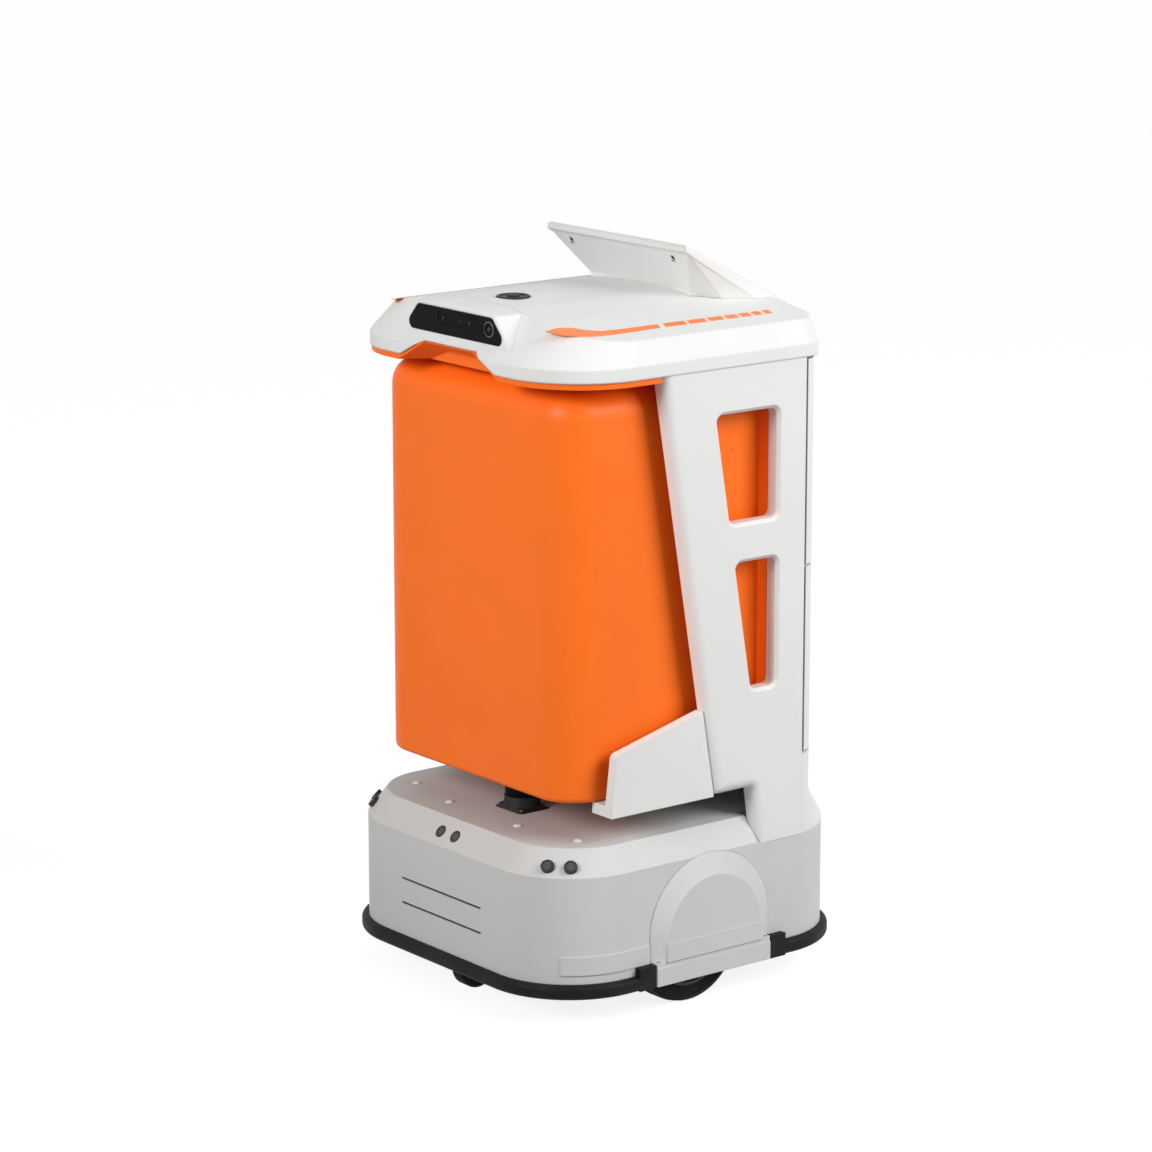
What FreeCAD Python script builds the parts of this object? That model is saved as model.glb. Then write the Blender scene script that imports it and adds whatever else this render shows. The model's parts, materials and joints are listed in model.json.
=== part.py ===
import FreeCAD, Part
import math
import os
import Sketcher

# Autonomous delivery robot: driven base, cargo box with two rear doors, sensor head and display.
# Origin on the floor under the middle of the base, +Z up, front of the robot towards -Y.
# Left and right are as seen from in front, so right is +X.  Millimetres.

doc = FreeCAD.newDocument("delivery_robot")
V = FreeCAD.Vector


# ---------------------------------------------------------------- sizes that carry their formula
class Size:
    """A number together with the spreadsheet formula that gives it."""

    def __init__(self, number, text):
        self.number = float(number)
        self.text = text

    def __add__(self, other):
        other = size(other)
        return Size(self.number + other.number, "(%s + %s)" % (self.text, other.text))

    def __sub__(self, other):
        other = size(other)
        return Size(self.number - other.number, "(%s - %s)" % (self.text, other.text))

    def __mul__(self, other):
        other = size(other)
        return Size(self.number * other.number, "(%s * %s)" % (self.text, other.text))

    def __truediv__(self, other):
        other = size(other)
        return Size(self.number / other.number, "(%s / %s)" % (self.text, other.text))

    def __neg__(self):
        return Size(-self.number, "(0 - %s)" % self.text)

    __radd__ = __add__
    __rmul__ = __mul__

    def __rsub__(self, other):
        return size(other) - self


def size(value):
    """Any number as a Size."""
    return value if isinstance(value, Size) else Size(value, "%.6f" % value)


# ---------------------------------------------------------------- driving dimensions
SHEET = doc.addObject("Spreadsheet::Sheet", "Sizes")


class Sizes:
    """The driving dimensions, each a named cell of the sheet."""

    rows = 0

    def set(self, **cells):
        for name, number in cells.items():
            Sizes.rows += 1
            SHEET.set("A%d" % Sizes.rows, name)
            SHEET.set("B%d" % Sizes.rows, str(number))
            SHEET.setAlias("B%d" % Sizes.rows, name)
            setattr(self, name, Size(number, "Sizes." + name))


S = Sizes()
# whole robot and base
S.set(base_half_width=242.5, base_half_length=257, base_corner=116, base_wall=4, shell_bottom=60,
      chamfer_start=202, deck_top=235, deck_inset_side=22, deck_inset_front=27, rear_notch_z=200,
      rear_notch_x=200, seat_gap=0.3)
# running gear
S.set(floor_under=76, plate_thick=3, wheel_radius=85, wheel_y=-20, tyre_width=46, rim_radius=62,
      wheel_face=229.5, well_half=112, well_inner=156, wheel_axle_radius=8, turning_gap=0.06)
S.set(arm_thick=12, arm_inner=160, arm_pivot_y=-80, arm_pivot_z=104, pivot_radius=6)
S.set(spring_y=58, spring_seat_z=112, spring_top_z=178, spring_x=170, spring_radius=11.5, spring_wire=4.2)
S.set(caster_reach=180, caster_trail=23, caster_radius=30, caster_width=24)
# bumper and the raised band above it
S.set(bumper_low=41, bumper_high=60, bumper_proud=10, bumper_inset=12, bumper_start=98, rail_thick=3,
      bumper_block_top=72, bumper_block=26)
S.set(band_high=97, band_proud=1.6, band_start=222)
# arch covers
S.set(arch_radius=101, arch_face_radius=78, arch_centre_z=104, arch_proud=11.5, skirt_half=96,
      skirt_low=42, skirt_high=66, arch_wall=3)
# cargo box and its cradle
S.set(box_half_width=204, box_front=208, box_low=290, box_high=825, box_corner=55, box_top_round=38,
      box_low_round=8, box_wall=3, flange_y=110, flange_half_width=222, shelf_z=564, shelf_thick=4)
S.set(cradle_low=275, cradle_front=158, cradle_mouth=195, cheek_outer=235, cheek_thick=13.5,
      cheek_front_z=357, cheek_rear_z=393)
# side panels, their windows, and uprights
S.set(panel_outer=243, panel_thick=20, panel_top=841, panel_low=277, panel_rear=157, panel_top_y=-83,
      panel_low_y=13, panel_round=15, column_y=73, column_low_y=83)
S.set(window_1_low=635.5, window_1_high=780, window_2_low=411.5, window_2_high=583, window_frame=80,
      window_rear=110, window_round=4.5)
S.set(upright_front=113.5, upright_rear=148, upright_inner=204.5, skin=3)
# doors and the cover below them
S.set(door_front=161, door_rear=191, door_corner=40, door_low=314, door_high=837.5, door_gap=4,
      pin_x=-225, pin_y=173, pin_radius=3, bracket_thick=3, flare_z=256)
# head
S.set(head_half_width=244, head_front=242, head_rear=199, head_low=841, head_band=17, head_wall=3,
      head_front_corner=112, head_rear_corner=42, shoulder_half=232, shoulder_z=889, plateau_half=132,
      plateau_z=907, crown_z=918, trim_low=833, front_lean=1.05)
S.set(hood_face=228, hood_top=910, hood_low=872, hood_half_top=86, hood_half_low=118, notch_high=864,
      notch_rear=205)
# cameras and their window
S.set(window_low_half=110, window_top_half=79, sensor_low=875, sensor_high=909, eye_y=-134, eye_radius=22,
      lens_x=73, lens_z=894, lens_radius=9)
# display
S.set(display_half_width=144, display_tip_y=34, display_top=985, display_rear_y=205, display_rear_z=899,
      glass_thick=3, glass_half=132, hole_x=106, hole_y=45, hole_z=956, hole_radius=2.4)
S.set(foot_half_front=104, foot_half_rear=130, foot_front_y=76, foot_side_y=122, foot_side_z=893,
      band_rear_y=174, band_rear_z=893)
# laser scanner and range sensors
S.set(lidar_x=8, lidar_y=-128, lidar_radius=24, sensor_radius=8.5)
# charging port and buttons
S.set(port_half=62, port_low=96, port_high=136, collar_radius=12, stop_x=-150, stop_z=283, stop_travel=4,
      power_x=120, power_z=160, power_travel=2)

# ---------------------------------------------------------------- modelling helpers
PLANES = {"x": ("YZ_Plane", 1), "y": ("XZ_Plane", -1), "z": ("XY_Plane", 1)}
AXIS_TURN = {"x": (V(0, 1, 0), 90), "y": (V(1, 0, 0), -90), "z": (V(0, 0, 1), 0)}
NODES = []


def bind(thing, **formulas):
    """Ties properties of a document object to sizes; a double underscore stands for a dot."""
    for name, value in formulas.items():
        thing.setExpression(name.replace("__", "."), size(value).text)


def put(thing, x=0, y=0, z=0):
    """Places an object by sizes."""
    bind(thing, Placement__Base__x=x, Placement__Base__y=y, Placement__Base__z=z)
    return thing


def node(thing, label):
    """Makes an object a sub-part of the robot, written to its own file."""
    thing.Label = label
    NODES.append(thing)
    return thing


def tie(sketch, kind, value, *references):
    """Adds a dimension to a sketch and ties it to a size."""
    value = size(value)
    index = sketch.addConstraint(Sketcher.Constraint(kind, *references, value.number))
    sketch.setExpression("Constraints[%d]" % index, value.text)


def fixed(sketch, geometry, point, x, y):
    """Pins one point of a sketch at sizes x, y from its origin."""
    tie(sketch, "DistanceX", x, -1, 1, geometry, point)
    tie(sketch, "DistanceY", y, -1, 1, geometry, point)


def polygon(*points):
    """Outline through corners, each an (x, y) pair of sizes."""
    def draw(sketch):
        count = len(points)
        corners = [V(size(x).number, size(y).number, 0) for x, y in points]
        for i in range(count):
            sketch.addGeometry(Part.LineSegment(corners[i], corners[(i + 1) % count]), False)
        for i in range(count):
            sketch.addConstraint(Sketcher.Constraint("Coincident", i, 2, (i + 1) % count, 1))
            fixed(sketch, i, 1, *points[i])
    return draw


def disc(x, y, radius):
    """A circle of a given centre and radius."""
    def draw(sketch):
        centre = V(size(x).number, size(y).number, 0)
        sketch.addGeometry(Part.Circle(centre, V(0, 0, 1), size(radius).number), False)
        fixed(sketch, 0, 3, x, y)
        tie(sketch, "Radius", radius, 0)
    return draw


def rounded(x0, x1, y0, y1, low_radius, high_radius=None):
    """A rectangle between two corners, rounded by one radius at low y and another at high y."""
    x0, x1, y0, y1, low = [size(value) for value in (x0, x1, y0, y1, low_radius)]
    high = low if high_radius is None else size(high_radius)

    def draw(sketch):
        arcs = [(x1 - high, y1 - high, high), (x0 + high, y1 - high, high),
                (x0 + low, y0 + low, low), (x1 - low, y0 + low, low)]
        for i, (x, y, radius) in enumerate(arcs):
            circle = Part.Circle(V(x.number, y.number, 0), V(0, 0, 1), radius.number)
            sketch.addGeometry(Part.ArcOfCircle(circle, i * math.pi / 2, (i + 1) * math.pi / 2), False)
        for i in range(4):
            ends = sketch.Geometry[i].EndPoint, sketch.Geometry[(i + 1) % 4].StartPoint
            sketch.addGeometry(Part.LineSegment(*ends), False)
        for i, (x, y, radius) in enumerate(arcs):
            sketch.addConstraint(Sketcher.Constraint("Tangent", i, 2, 4 + i, 1))
            sketch.addConstraint(Sketcher.Constraint("Tangent", 4 + i, 2, (i + 1) % 4, 1))
            fixed(sketch, i, 3, x, y)
            tie(sketch, "Radius", radius, i)
    return draw


class Piece:
    """A PartDesign body with one short call for each kind of feature."""

    def __init__(self, name):
        self.name = name
        self.body = doc.addObject("PartDesign::Body", name)

    def sketch(self, axis, at, draw):
        """A sketch square to an axis, at a distance along it."""
        plane, sign = PLANES[axis]
        made = self.body.newObject("Sketcher::SketchObject", self.name + "_sketch")
        origin = [f for f in self.body.Origin.OriginFeatures if f.Role == plane][0]
        made.AttachmentSupport = [(origin, "")]
        made.MapMode = "FlatFace"
        bind(made, AttachmentOffset__Base__z=size(at) * sign)
        draw(made)
        return made

    def pad(self, axis, low, high, draw):
        """Adds the outline swept from low to high along an axis."""
        made = self.body.newObject("PartDesign::Pad", self.name + "_pad")
        made.Profile = self.sketch(axis, low if PLANES[axis][1] > 0 else high, draw)
        bind(made, Length=size(high) - low)
        return self

    def pocket(self, axis, low, high, draw):
        """Removes the outline swept from low to high along an axis."""
        made = self.body.newObject("PartDesign::Pocket", self.name + "_pocket")
        made.Profile = self.sketch(axis, high if PLANES[axis][1] > 0 else low, draw)
        bind(made, Length=size(high) - low)
        return self

    def loft(self, axis, *sections):
        """Adds a ruled loft through (place, outline) pairs along an axis."""
        made = self.body.newObject("PartDesign::AdditiveLoft", self.name + "_loft")
        sketches = [self.sketch(axis, at, draw) for at, draw in sections]
        made.Profile = sketches[0]
        made.Sections = sketches[1:]
        made.Ruled = True
        return self

    def turn(self, axis, draw, axis_name="V_Axis", angle=360):
        """Adds the outline revolved about its sketch's vertical or horizontal axis."""
        made = self.body.newObject("PartDesign::Revolution", self.name + "_turn")
        made.Profile = self.sketch(axis, 0, draw)
        made.ReferenceAxis = (made.Profile[0], [axis_name])
        made.Angle = angle
        return self

    def edges(self, pick):
        """Names of the tip's edges that a test picks."""
        doc.recompute()
        found = [i for i, e in enumerate(self.body.Tip.Shape.Edges, 1) if pick(e)]
        if not found:
            raise ValueError("no edge picked on " + self.name)
        return (self.body.Tip, ["Edge%d" % i for i in found])

    def fillet(self, radius, pick):
        chosen = self.edges(pick)
        made = self.body.newObject("PartDesign::Fillet", self.name + "_fillet")
        made.Base = chosen
        bind(made, Radius=radius)
        return self

    def chamfer(self, length, pick):
        chosen = self.edges(pick)
        made = self.body.newObject("PartDesign::Chamfer", self.name + "_chamfer")
        made.Base = chosen
        bind(made, Size=length)
        return self


def group(kind, name, parts):
    made = doc.addObject(kind, name)
    made.Shapes = list(parts)
    return made


def fuse(name, *parts):
    """One solid, or one group of solids, out of several objects."""
    return group("Part::MultiFuse", name, parts)


def cut(name, base, *tools):
    """The base object without the tools, taken away one after the other."""
    for left, tool in zip(range(len(tools), 0, -1), tools):
        made = doc.addObject("Part::Cut", name if left == 1 else "%s_less_%d" % (name, left))
        made.Base, made.Tool = base, tool
        base = made
    return made


def common(name, first, second):
    """What two objects share."""
    made = doc.addObject("Part::Common", name)
    made.Base, made.Tool = first, second
    return made


def mirror(name, source):
    """The same object on the other side of the robot."""
    made = doc.addObject("Part::Mirroring", name)
    made.Source = source
    made.Normal = V(1, 0, 0)
    return made


def block(name, x0, x1, y0, y1, z0, z1):
    """A box between two corners."""
    made = doc.addObject("Part::Box", name)
    bind(made, Length=size(x1) - x0, Width=size(y1) - y0, Height=size(z1) - z0)
    return put(made, x0, y0, z0)


def cylinder(name, axis, low, high, a, b, radius):
    """A cylinder along an axis from low to high; a and b are its other two coordinates in order."""
    made = doc.addObject("Part::Cylinder", name)
    made.Placement = FreeCAD.Placement(V(0, 0, 0), FreeCAD.Rotation(*AXIS_TURN[axis]))
    bind(made, Radius=radius, Height=size(high) - low)
    place = {"x": (low, a, b), "y": (a, low, b), "z": (a, b, low)}[axis]
    return put(made, *place)

# ---------------------------------------------------------------- base: chassis, shell and bumper
def base_outline(inset):
    """Plan outline of the base, moved in by an inset."""
    return rounded(inset - S.base_half_width, S.base_half_width - inset,
                   inset - S.base_half_length, S.base_half_length - inset, S.base_corner - inset)


def chassis_plate():
    """Steel floor plate with a well cut out of each side for the drive wheels."""
    piece = Piece("chassis_plate")
    piece.pad("z", S.floor_under, S.floor_under + S.plate_thick, base_outline(S.base_wall + S.seat_gap))
    for side in (-1, 1):
        edge, inner = S.base_half_width * side, S.well_inner * side
        low, high = (edge, inner) if side < 0 else (inner, edge)
        piece.pocket("z", S.floor_under - 1, S.floor_under + S.plate_thick + 1,
                     polygon((low, -S.well_half), (high, -S.well_half), (high, S.well_half), (low, S.well_half)))
    node(piece.body, "chassis_plate")


def ring_part(name, low, high, outer, inner, start, front):
    """Upright band round the front or rear half of the base, open over the wheel wells."""
    piece = Piece(name)
    piece.pad("z", low, high, base_outline(outer))
    piece.pocket("z", low - 1, high + 1, base_outline(inner))
    side = -1 if front else 1
    far = S.base_half_length * -side * 2
    near = start * side
    low_y, high_y = (near, far) if front else (far, near)
    wide = S.base_half_width * 2
    piece.pocket("z", low - 1, high + 1,
                 polygon((-wide, low_y), (wide, low_y), (wide, high_y), (-wide, high_y)))
    return piece


def bumper_rails():
    """Sheet rails under the floor plate that carry the bumper."""
    rails = [ring_part("rail", S.bumper_low + 3, S.floor_under, S.bumper_inset, S.bumper_inset + S.rail_thick,
                       S.well_half, front).body for front in (True, False)]
    node(fuse("bumper_rails", *rails), "bumper_rails")


def bumpers():
    """Rubber bumpers round both ends, with a taller block beside each wheel arch."""
    for front, name in ((True, "bumper_front"), (False, "bumper_rear")):
        side = -1 if front else 1
        strip = ring_part(name + "_strip", S.bumper_low, S.bumper_high, -S.bumper_proud,
                          S.bumper_inset - S.seat_gap, S.bumper_start, front)
        strip.fillet(6, lambda e: abs(e.BoundBox.ZLength) < 0.1 and e.BoundBox.XMax > S.base_half_width.number + 5
                     and e.BoundBox.YLength > 100)
        blocks = []
        for end in (-1, 1):
            block = doc.addObject("Part::Box", name + "_block")
            bind(block, Length=S.bumper_proud - S.seat_gap, Width=S.bumper_block,
                 Height=S.bumper_block_top - S.bumper_low)
            put(block, (S.base_half_width + S.seat_gap) if end > 0 else -S.base_half_width - S.bumper_proud,
                S.bumper_start if side > 0 else -S.bumper_start - S.bumper_block, S.bumper_low)
            blocks.append(block)
        whole = fuse(name, strip.body, *blocks)
        node(whole, name)


def base_form(name, inset):
    """Base body: upright walls, a chamfer to the deck, and lowered corners behind for the columns."""
    piece = Piece(name)
    lower = base_outline(inset)
    piece.pad("z", S.shell_bottom - size(inset) * 2, S.chamfer_start, lower)
    upper = rounded(inset + S.deck_inset_side - S.base_half_width, S.base_half_width - S.deck_inset_side - inset,
                    inset + S.deck_inset_front - S.base_half_length,
                    S.base_half_length - S.deck_inset_front - inset, S.base_corner - S.deck_inset_side - inset)
    piece.loft("z", (S.chamfer_start, lower), (S.deck_top - inset, upper))
    wide = S.base_half_width * 2
    long = S.base_half_length * 2
    for side in (-1, 1):
        inner = (S.rear_notch_x - inset) * side
        low, high = (-wide, inner) if side < 0 else (inner, wide)
        slope = (S.column_low_y - S.column_y) / (S.panel_low - S.rear_notch_z)
        foot, top = S.rear_notch_z - inset, S.deck_top + 9
        front = S.column_low_y - S.seat_gap - inset
        piece.pocket("x", low, high, polygon((front, foot), (front - slope * (top - foot), top), (long, top),
                                             (long, foot)))
    piece.pocket("z", S.rear_notch_z - inset, S.deck_top + 9,
                 polygon((-wide, S.upright_rear + 4 - inset), (wide, S.upright_rear + 4 - inset), (wide, long),
                         (-wide, long)))
    return piece


def side_band():
    """Raised band along the foot of each side, from the front corner to the wheel arch."""
    piece = Piece("side_band")
    piece.pad("z", S.bumper_block_top + S.seat_gap, S.band_high, base_outline(-S.band_proud))
    piece.pocket("z", S.shell_bottom, S.band_high + 1, base_outline(S.base_wall / 2))
    far = S.base_half_length * 2
    for low, high in ((-far, -S.band_start), (-S.arch_radius - S.seat_gap, far)):
        piece.pocket("z", S.shell_bottom, S.band_high + 1,
                     polygon((-far, low), (far, low), (far, high), (-far, high)))
    return piece


def base_shell():
    """Moulded base cover, open below, with wheel arches, slots and holes for what passes through."""
    outer = base_form("base_outer", 0)
    for z in (104.8, 138.5):
        outer.pocket("y", -S.base_half_length - 1, -S.base_half_length + 8,
                     rounded(-87, size(87), z - 1.5, size(z + 1.5), size(1.4)))
    inner = base_form("base_inner", S.base_wall)
    whole = fuse("base_solid", outer.body, side_band().body)
    reach = S.base_half_width * 2
    arch = cylinder("arch_hole", "x", -reach, reach, 0, S.arch_centre_z, S.arch_radius - 9)
    port = block("port_hole", -S.port_half - S.seat_gap, S.port_half + S.seat_gap, S.base_half_length - 9,
                 S.base_half_length + 9, S.port_low - S.seat_gap, S.port_high + S.seat_gap)
    power = cylinder("power_hole", "y", S.base_half_length - 9, S.base_half_length + 9, S.power_x, S.power_z,
                     S.collar_radius + 0.1)
    eyes = ultrasonic_sensors(S.sensor_radius + 0.2)
    below = block("arch_hole_low", -reach, reach, 9 - S.arch_radius, S.arch_radius - 9, 0, S.arch_centre_z)
    posts = [block("upright_hole", x0, x1, S.upright_front - 1, S.upright_rear + 1, 100, S.deck_top)
             for x0, x1 in ((S.upright_inner - 1, S.flange_half_width + 1),
                            (-S.flange_half_width - 1, -S.upright_inner + 1))]
    node(cut("base_shell", whole, inner.body, arch, below, port, power, *eyes, *posts), "base_shell")
    node(fuse("ultrasonic_sensors", *ultrasonic_sensors(S.sensor_radius)), "ultrasonic_sensors")


def d_outline(radius, centre_z, low):
    """Arch outline in the side view: a half circle on straight legs."""
    def draw(sketch):
        r, z, z0 = size(radius).number, size(centre_z).number, size(low).number
        circle = Part.Circle(V(0, z, 0), V(0, 0, 1), r)
        sketch.addGeometry(Part.ArcOfCircle(circle, 0, math.pi), False)
        corners = [V(-r, z, 0), V(-r, z0, 0), V(r, z0, 0), V(r, z, 0)]
        for i in range(3):
            sketch.addGeometry(Part.LineSegment(corners[i], corners[i + 1]), False)
        relations = [("Tangent", 0, 2, 1, 1), ("Tangent", 3, 2, 0, 1), ("Coincident", 1, 2, 2, 1),
                     ("Coincident", 2, 2, 3, 1), ("Vertical", 1), ("Vertical", 3)]
        for relation in relations:
            sketch.addConstraint(Sketcher.Constraint(*relation))
        fixed(sketch, 0, 3, 0, centre_z)
        tie(sketch, "Radius", radius, 0)
        tie(sketch, "DistanceY", low, -1, 1, 2, 1)
        tie(sketch, "DistanceY", low, -1, 1, 2, 2)
    return draw


def arch_form(name, inset):
    """Raised fender: sloped flank up to a flat face, and the square skirt under it."""
    face = S.base_half_width + S.seat_gap
    proud = face + S.arch_proud
    piece = Piece(name)
    low = S.bumper_block_top + S.seat_gap
    if inset:
        piece.pad("x", face - 5, face, d_outline(S.arch_radius - inset, S.arch_centre_z, low))
    piece.loft("x", (face, d_outline(S.arch_radius - inset, S.arch_centre_z, low)),
               (proud - inset, d_outline(S.arch_face_radius - inset, S.arch_centre_z - 6, low)))
    if not inset:
        wide = S.arch_face_radius + 2
        piece.pad("x", face + 1, proud + S.band_proud / 2,
                  polygon((-wide, low), (wide, low), (wide, S.band_high), (-wide, S.band_high)))
    skirt = S.skirt_half - inset
    piece.pad("x", face - (5 if inset else 0), proud - inset,
              polygon((-skirt, S.skirt_low - (9 if inset else 0)), (skirt, S.skirt_low - (9 if inset else 0)),
                      (skirt, S.skirt_high - inset), (-skirt, S.skirt_high - inset)))
    piece.pad("x", face - (5 if inset else 0), proud - 1.5 - inset,
              polygon((-skirt, S.skirt_high - inset - 1), (skirt, S.skirt_high - inset - 1), (skirt, low + 1),
                      (-skirt, low + 1)))
    return piece


def arch_covers():
    """White fenders over the drive wheels."""
    outer = arch_form("arch_outer", 0)
    inner = arch_form("arch_inner", S.arch_wall)
    right = node(cut("arch_cover_right", outer.body, inner.body), "arch_cover_right")
    node(mirror("arch_cover_left", right), "arch_cover_left")


def ultrasonic_sensors(radius):
    """Round range sensors in the front chamfer: a pair in the middle and a pair at each corner."""
    rise = math.atan2((S.deck_top - S.chamfer_start).number, S.deck_inset_front.number)
    corner_x = (S.base_half_width - S.base_corner).number
    corner_y = (S.base_corner - S.base_half_length).number
    height = S.deck_top.number - 18.5
    places = [(side * 15.8, 13 - S.base_half_length.number, 0) for side in (-1, 1)]
    places += [(side * (corner_x + x), corner_y - y, side * turn)
               for side in (1, -1) for x, y, turn in ((65.5, 88, 38), (87.5, 67, 52))]
    made = []
    for x, y, turn in places:
        out = FreeCAD.Rotation(V(0, 0, 1), turn).multVec(V(0, -math.sin(rise), math.cos(rise)))
        sensor = doc.addObject("Part::Cylinder", "sensor")
        bind(sensor, Radius=radius, Height=14)
        sensor.Placement = FreeCAD.Placement(V(x, y, height) - out * 13, FreeCAD.Rotation(V(0, 0, 1), out))
        made.append(sensor)
    return made


def deck_screw_caps():
    """Domed caps over the screws of the deck."""
    caps = []
    for x, y in ((-171, -170), (-69, -190), (76, -187), (178, -168)):
        ball = doc.addObject("Part::Sphere", "cap_ball")
        bind(ball, Radius=9)
        put(ball, x, y, S.deck_top - 6)
        caps.append(common("cap", ball, cylinder("cap_disc", "z", S.deck_top, S.deck_top + 9, x, y, 9)))
    node(fuse("deck_screw_caps", *caps), "deck_screw_caps")

# ---------------------------------------------------------------- running gear
def suspension_arm():
    """Trailing arm plate from its pivot, past the wheel, to the spring seat."""
    piece = Piece("arm_plate")
    low, high = S.arm_inner, S.arm_inner + S.arm_thick
    piece.pad("x", low, high, polygon((S.arm_pivot_y - 14, S.arm_pivot_z - 12), (S.wheel_y, S.wheel_radius - 20),
                                      (S.spring_y + 16, S.wheel_radius - 8), (S.spring_y + 16, S.spring_seat_z),
                                      (S.spring_y - 18, S.spring_seat_z), (S.wheel_y, S.wheel_radius + 22),
                                      (S.arm_pivot_y - 14, S.arm_pivot_z + 12)))
    piece.fillet(8, lambda e: abs(e.BoundBox.XLength - S.arm_thick.number) < 0.01)
    piece.pocket("x", low - 1, high + 1, disc(S.arm_pivot_y, S.arm_pivot_z, S.pivot_radius + S.turning_gap))
    seat = cylinder("spring_seat", "z", S.spring_seat_z - 6, S.spring_seat_z, S.spring_x, S.spring_y,
                    S.spring_radius + 1)
    axle = cylinder("axle", "x", low - 3.5, S.wheel_face - 4, S.wheel_y, S.wheel_radius, S.wheel_axle_radius)
    clamp = cylinder("axle_clamp", "x", low - 3.5, low, S.wheel_y, S.wheel_radius, S.wheel_axle_radius + 8)
    whole = fuse("suspension_arm", piece.body, seat, clamp)
    node(cut("suspension_arm_right", whole, cylinder("axle_bore", "x", low - 9, high + 1, S.wheel_y, S.wheel_radius,
                                                    S.wheel_axle_radius)), "suspension_arm_right")
    node(axle, "axle_right")
    return NODES[-2:]


def hub_and_tyre():
    """Hub motor drum with its cooling ribs, and the tyre round it."""
    face = S.wheel_face
    inner = face - S.tyre_width
    bore = S.wheel_axle_radius + S.turning_gap
    hub = Piece("hub")
    hub.turn("y", polygon((inner + 3, bore), (face - 3, bore), (face - 3, bore + 10), (face - 7, bore + 16),
                          (face - 7, S.rim_radius - 8), (face - 2, S.rim_radius - 4), (face - 2, S.rim_radius),
                          (inner + 2, S.rim_radius), (inner + 8, S.rim_radius - 12), (inner + 8, bore + 10),
                          (inner + 3, bore + 10)), "H_Axis")
    put(hub.body, 0, S.wheel_y, S.wheel_radius)
    shoulder = S.rim_radius + (S.wheel_radius - S.rim_radius) * (14 / 23)
    tyre = Piece("tyre")
    tyre.turn("y", polygon((inner + 3, S.rim_radius), (face - 3, S.rim_radius), (face, shoulder),
                           (face - 5, S.wheel_radius - 2), (face - 13, S.wheel_radius), (inner + 13, S.wheel_radius),
                           (inner + 5, S.wheel_radius - 2), (inner, shoulder)), "H_Axis")
    put(tyre.body, 0, S.wheel_y, S.wheel_radius)
    return node(hub.body, "hub_right"), node(tyre.body, "tyre_right")


def spring():
    """Flat-wire coil spring from the arm's seat up to the chassis bracket."""
    half = S.spring_wire / 2
    reach = S.spring_radius - half
    foot = S.spring_seat_z + half + S.seat_gap
    rise = S.spring_top_z - S.spring_seat_z - (half + S.seat_gap) * 2
    helix = doc.addObject("Part::Helix", "spring_line")
    bind(helix, Radius=reach, Height=rise, Pitch=rise / 4)
    put(helix, S.spring_x, S.spring_y, foot)
    section = doc.addObject("Part::RegularPolygon", "spring_section")
    section.Polygon = 4
    bind(section, Circumradius=half * math.sqrt(2))
    section.Placement = FreeCAD.Placement(V(0, 0, 0), FreeCAD.Rotation(V(1, 0, 0), 90).multiply(
        FreeCAD.Rotation(V(0, 0, 1), 45)))
    put(section, S.spring_x + reach, S.spring_y, foot)
    sweep = doc.addObject("Part::Sweep", "spring_sweep")
    sweep.Sections = [section]
    sweep.Spine = helix
    sweep.Solid = True
    sweep.Frenet = True
    return node(sweep, "spring_right")


def drive_brackets():
    """Angle brackets on the floor plate that hold the arms' pivot pins and the springs' upper ends."""
    inner, outer = S.arm_inner - 7, S.arm_inner - 3
    top = S.spring_top_z
    plate = Piece("drive_bracket_plate")
    deck = S.floor_under + S.plate_thick
    plate.pad("x", inner, outer,
              polygon((S.arm_pivot_y - 14, deck), (S.spring_y + 18, deck), (S.spring_y + 18, top + 4),
                      (S.spring_y - 18, top + 4), (S.arm_pivot_y + 20, S.arm_pivot_z + 20),
                      (S.arm_pivot_y - 14, S.arm_pivot_z + 14)))
    plate.pocket("x", inner - 1, outer + 1, disc(S.wheel_y, S.wheel_radius + 6, 28))
    plate.pocket("x", inner - 1, outer + 1, disc(S.arm_pivot_y, S.arm_pivot_z, S.pivot_radius))
    foot = block("drive_bracket_foot", inner - 20, inner + 1, S.arm_pivot_y - 14, S.spring_y + 18, deck,
                 deck + 4)
    shelf = block("drive_bracket_shelf", inner, S.arm_inner + S.arm_thick + 10, S.spring_y - 16,
                  S.spring_y + 18, top, top + 4)
    right = fuse("bracket_right", plate.body, foot, shelf)
    node(fuse("drive_brackets", right, mirror("bracket_left", right)), "drive_brackets")


def pivot_pins():
    """Pins on which the two arms swing."""
    right = cylinder("pin_right", "x", S.arm_inner - 9, S.arm_inner + S.arm_thick + 3, S.arm_pivot_y,
                     S.arm_pivot_z, S.pivot_radius)
    node(fuse("pivot_pins", right, mirror("pin_left", right)), "pivot_pins")


def drive_side():
    """The whole right drive, and its mirror image on the left."""
    made = [*suspension_arm(), *hub_and_tyre(), spring()]
    for part in made:
        label = part.Label.replace("right", "left")
        node(mirror(label, part), label)
    drive_brackets()
    pivot_pins()


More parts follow.
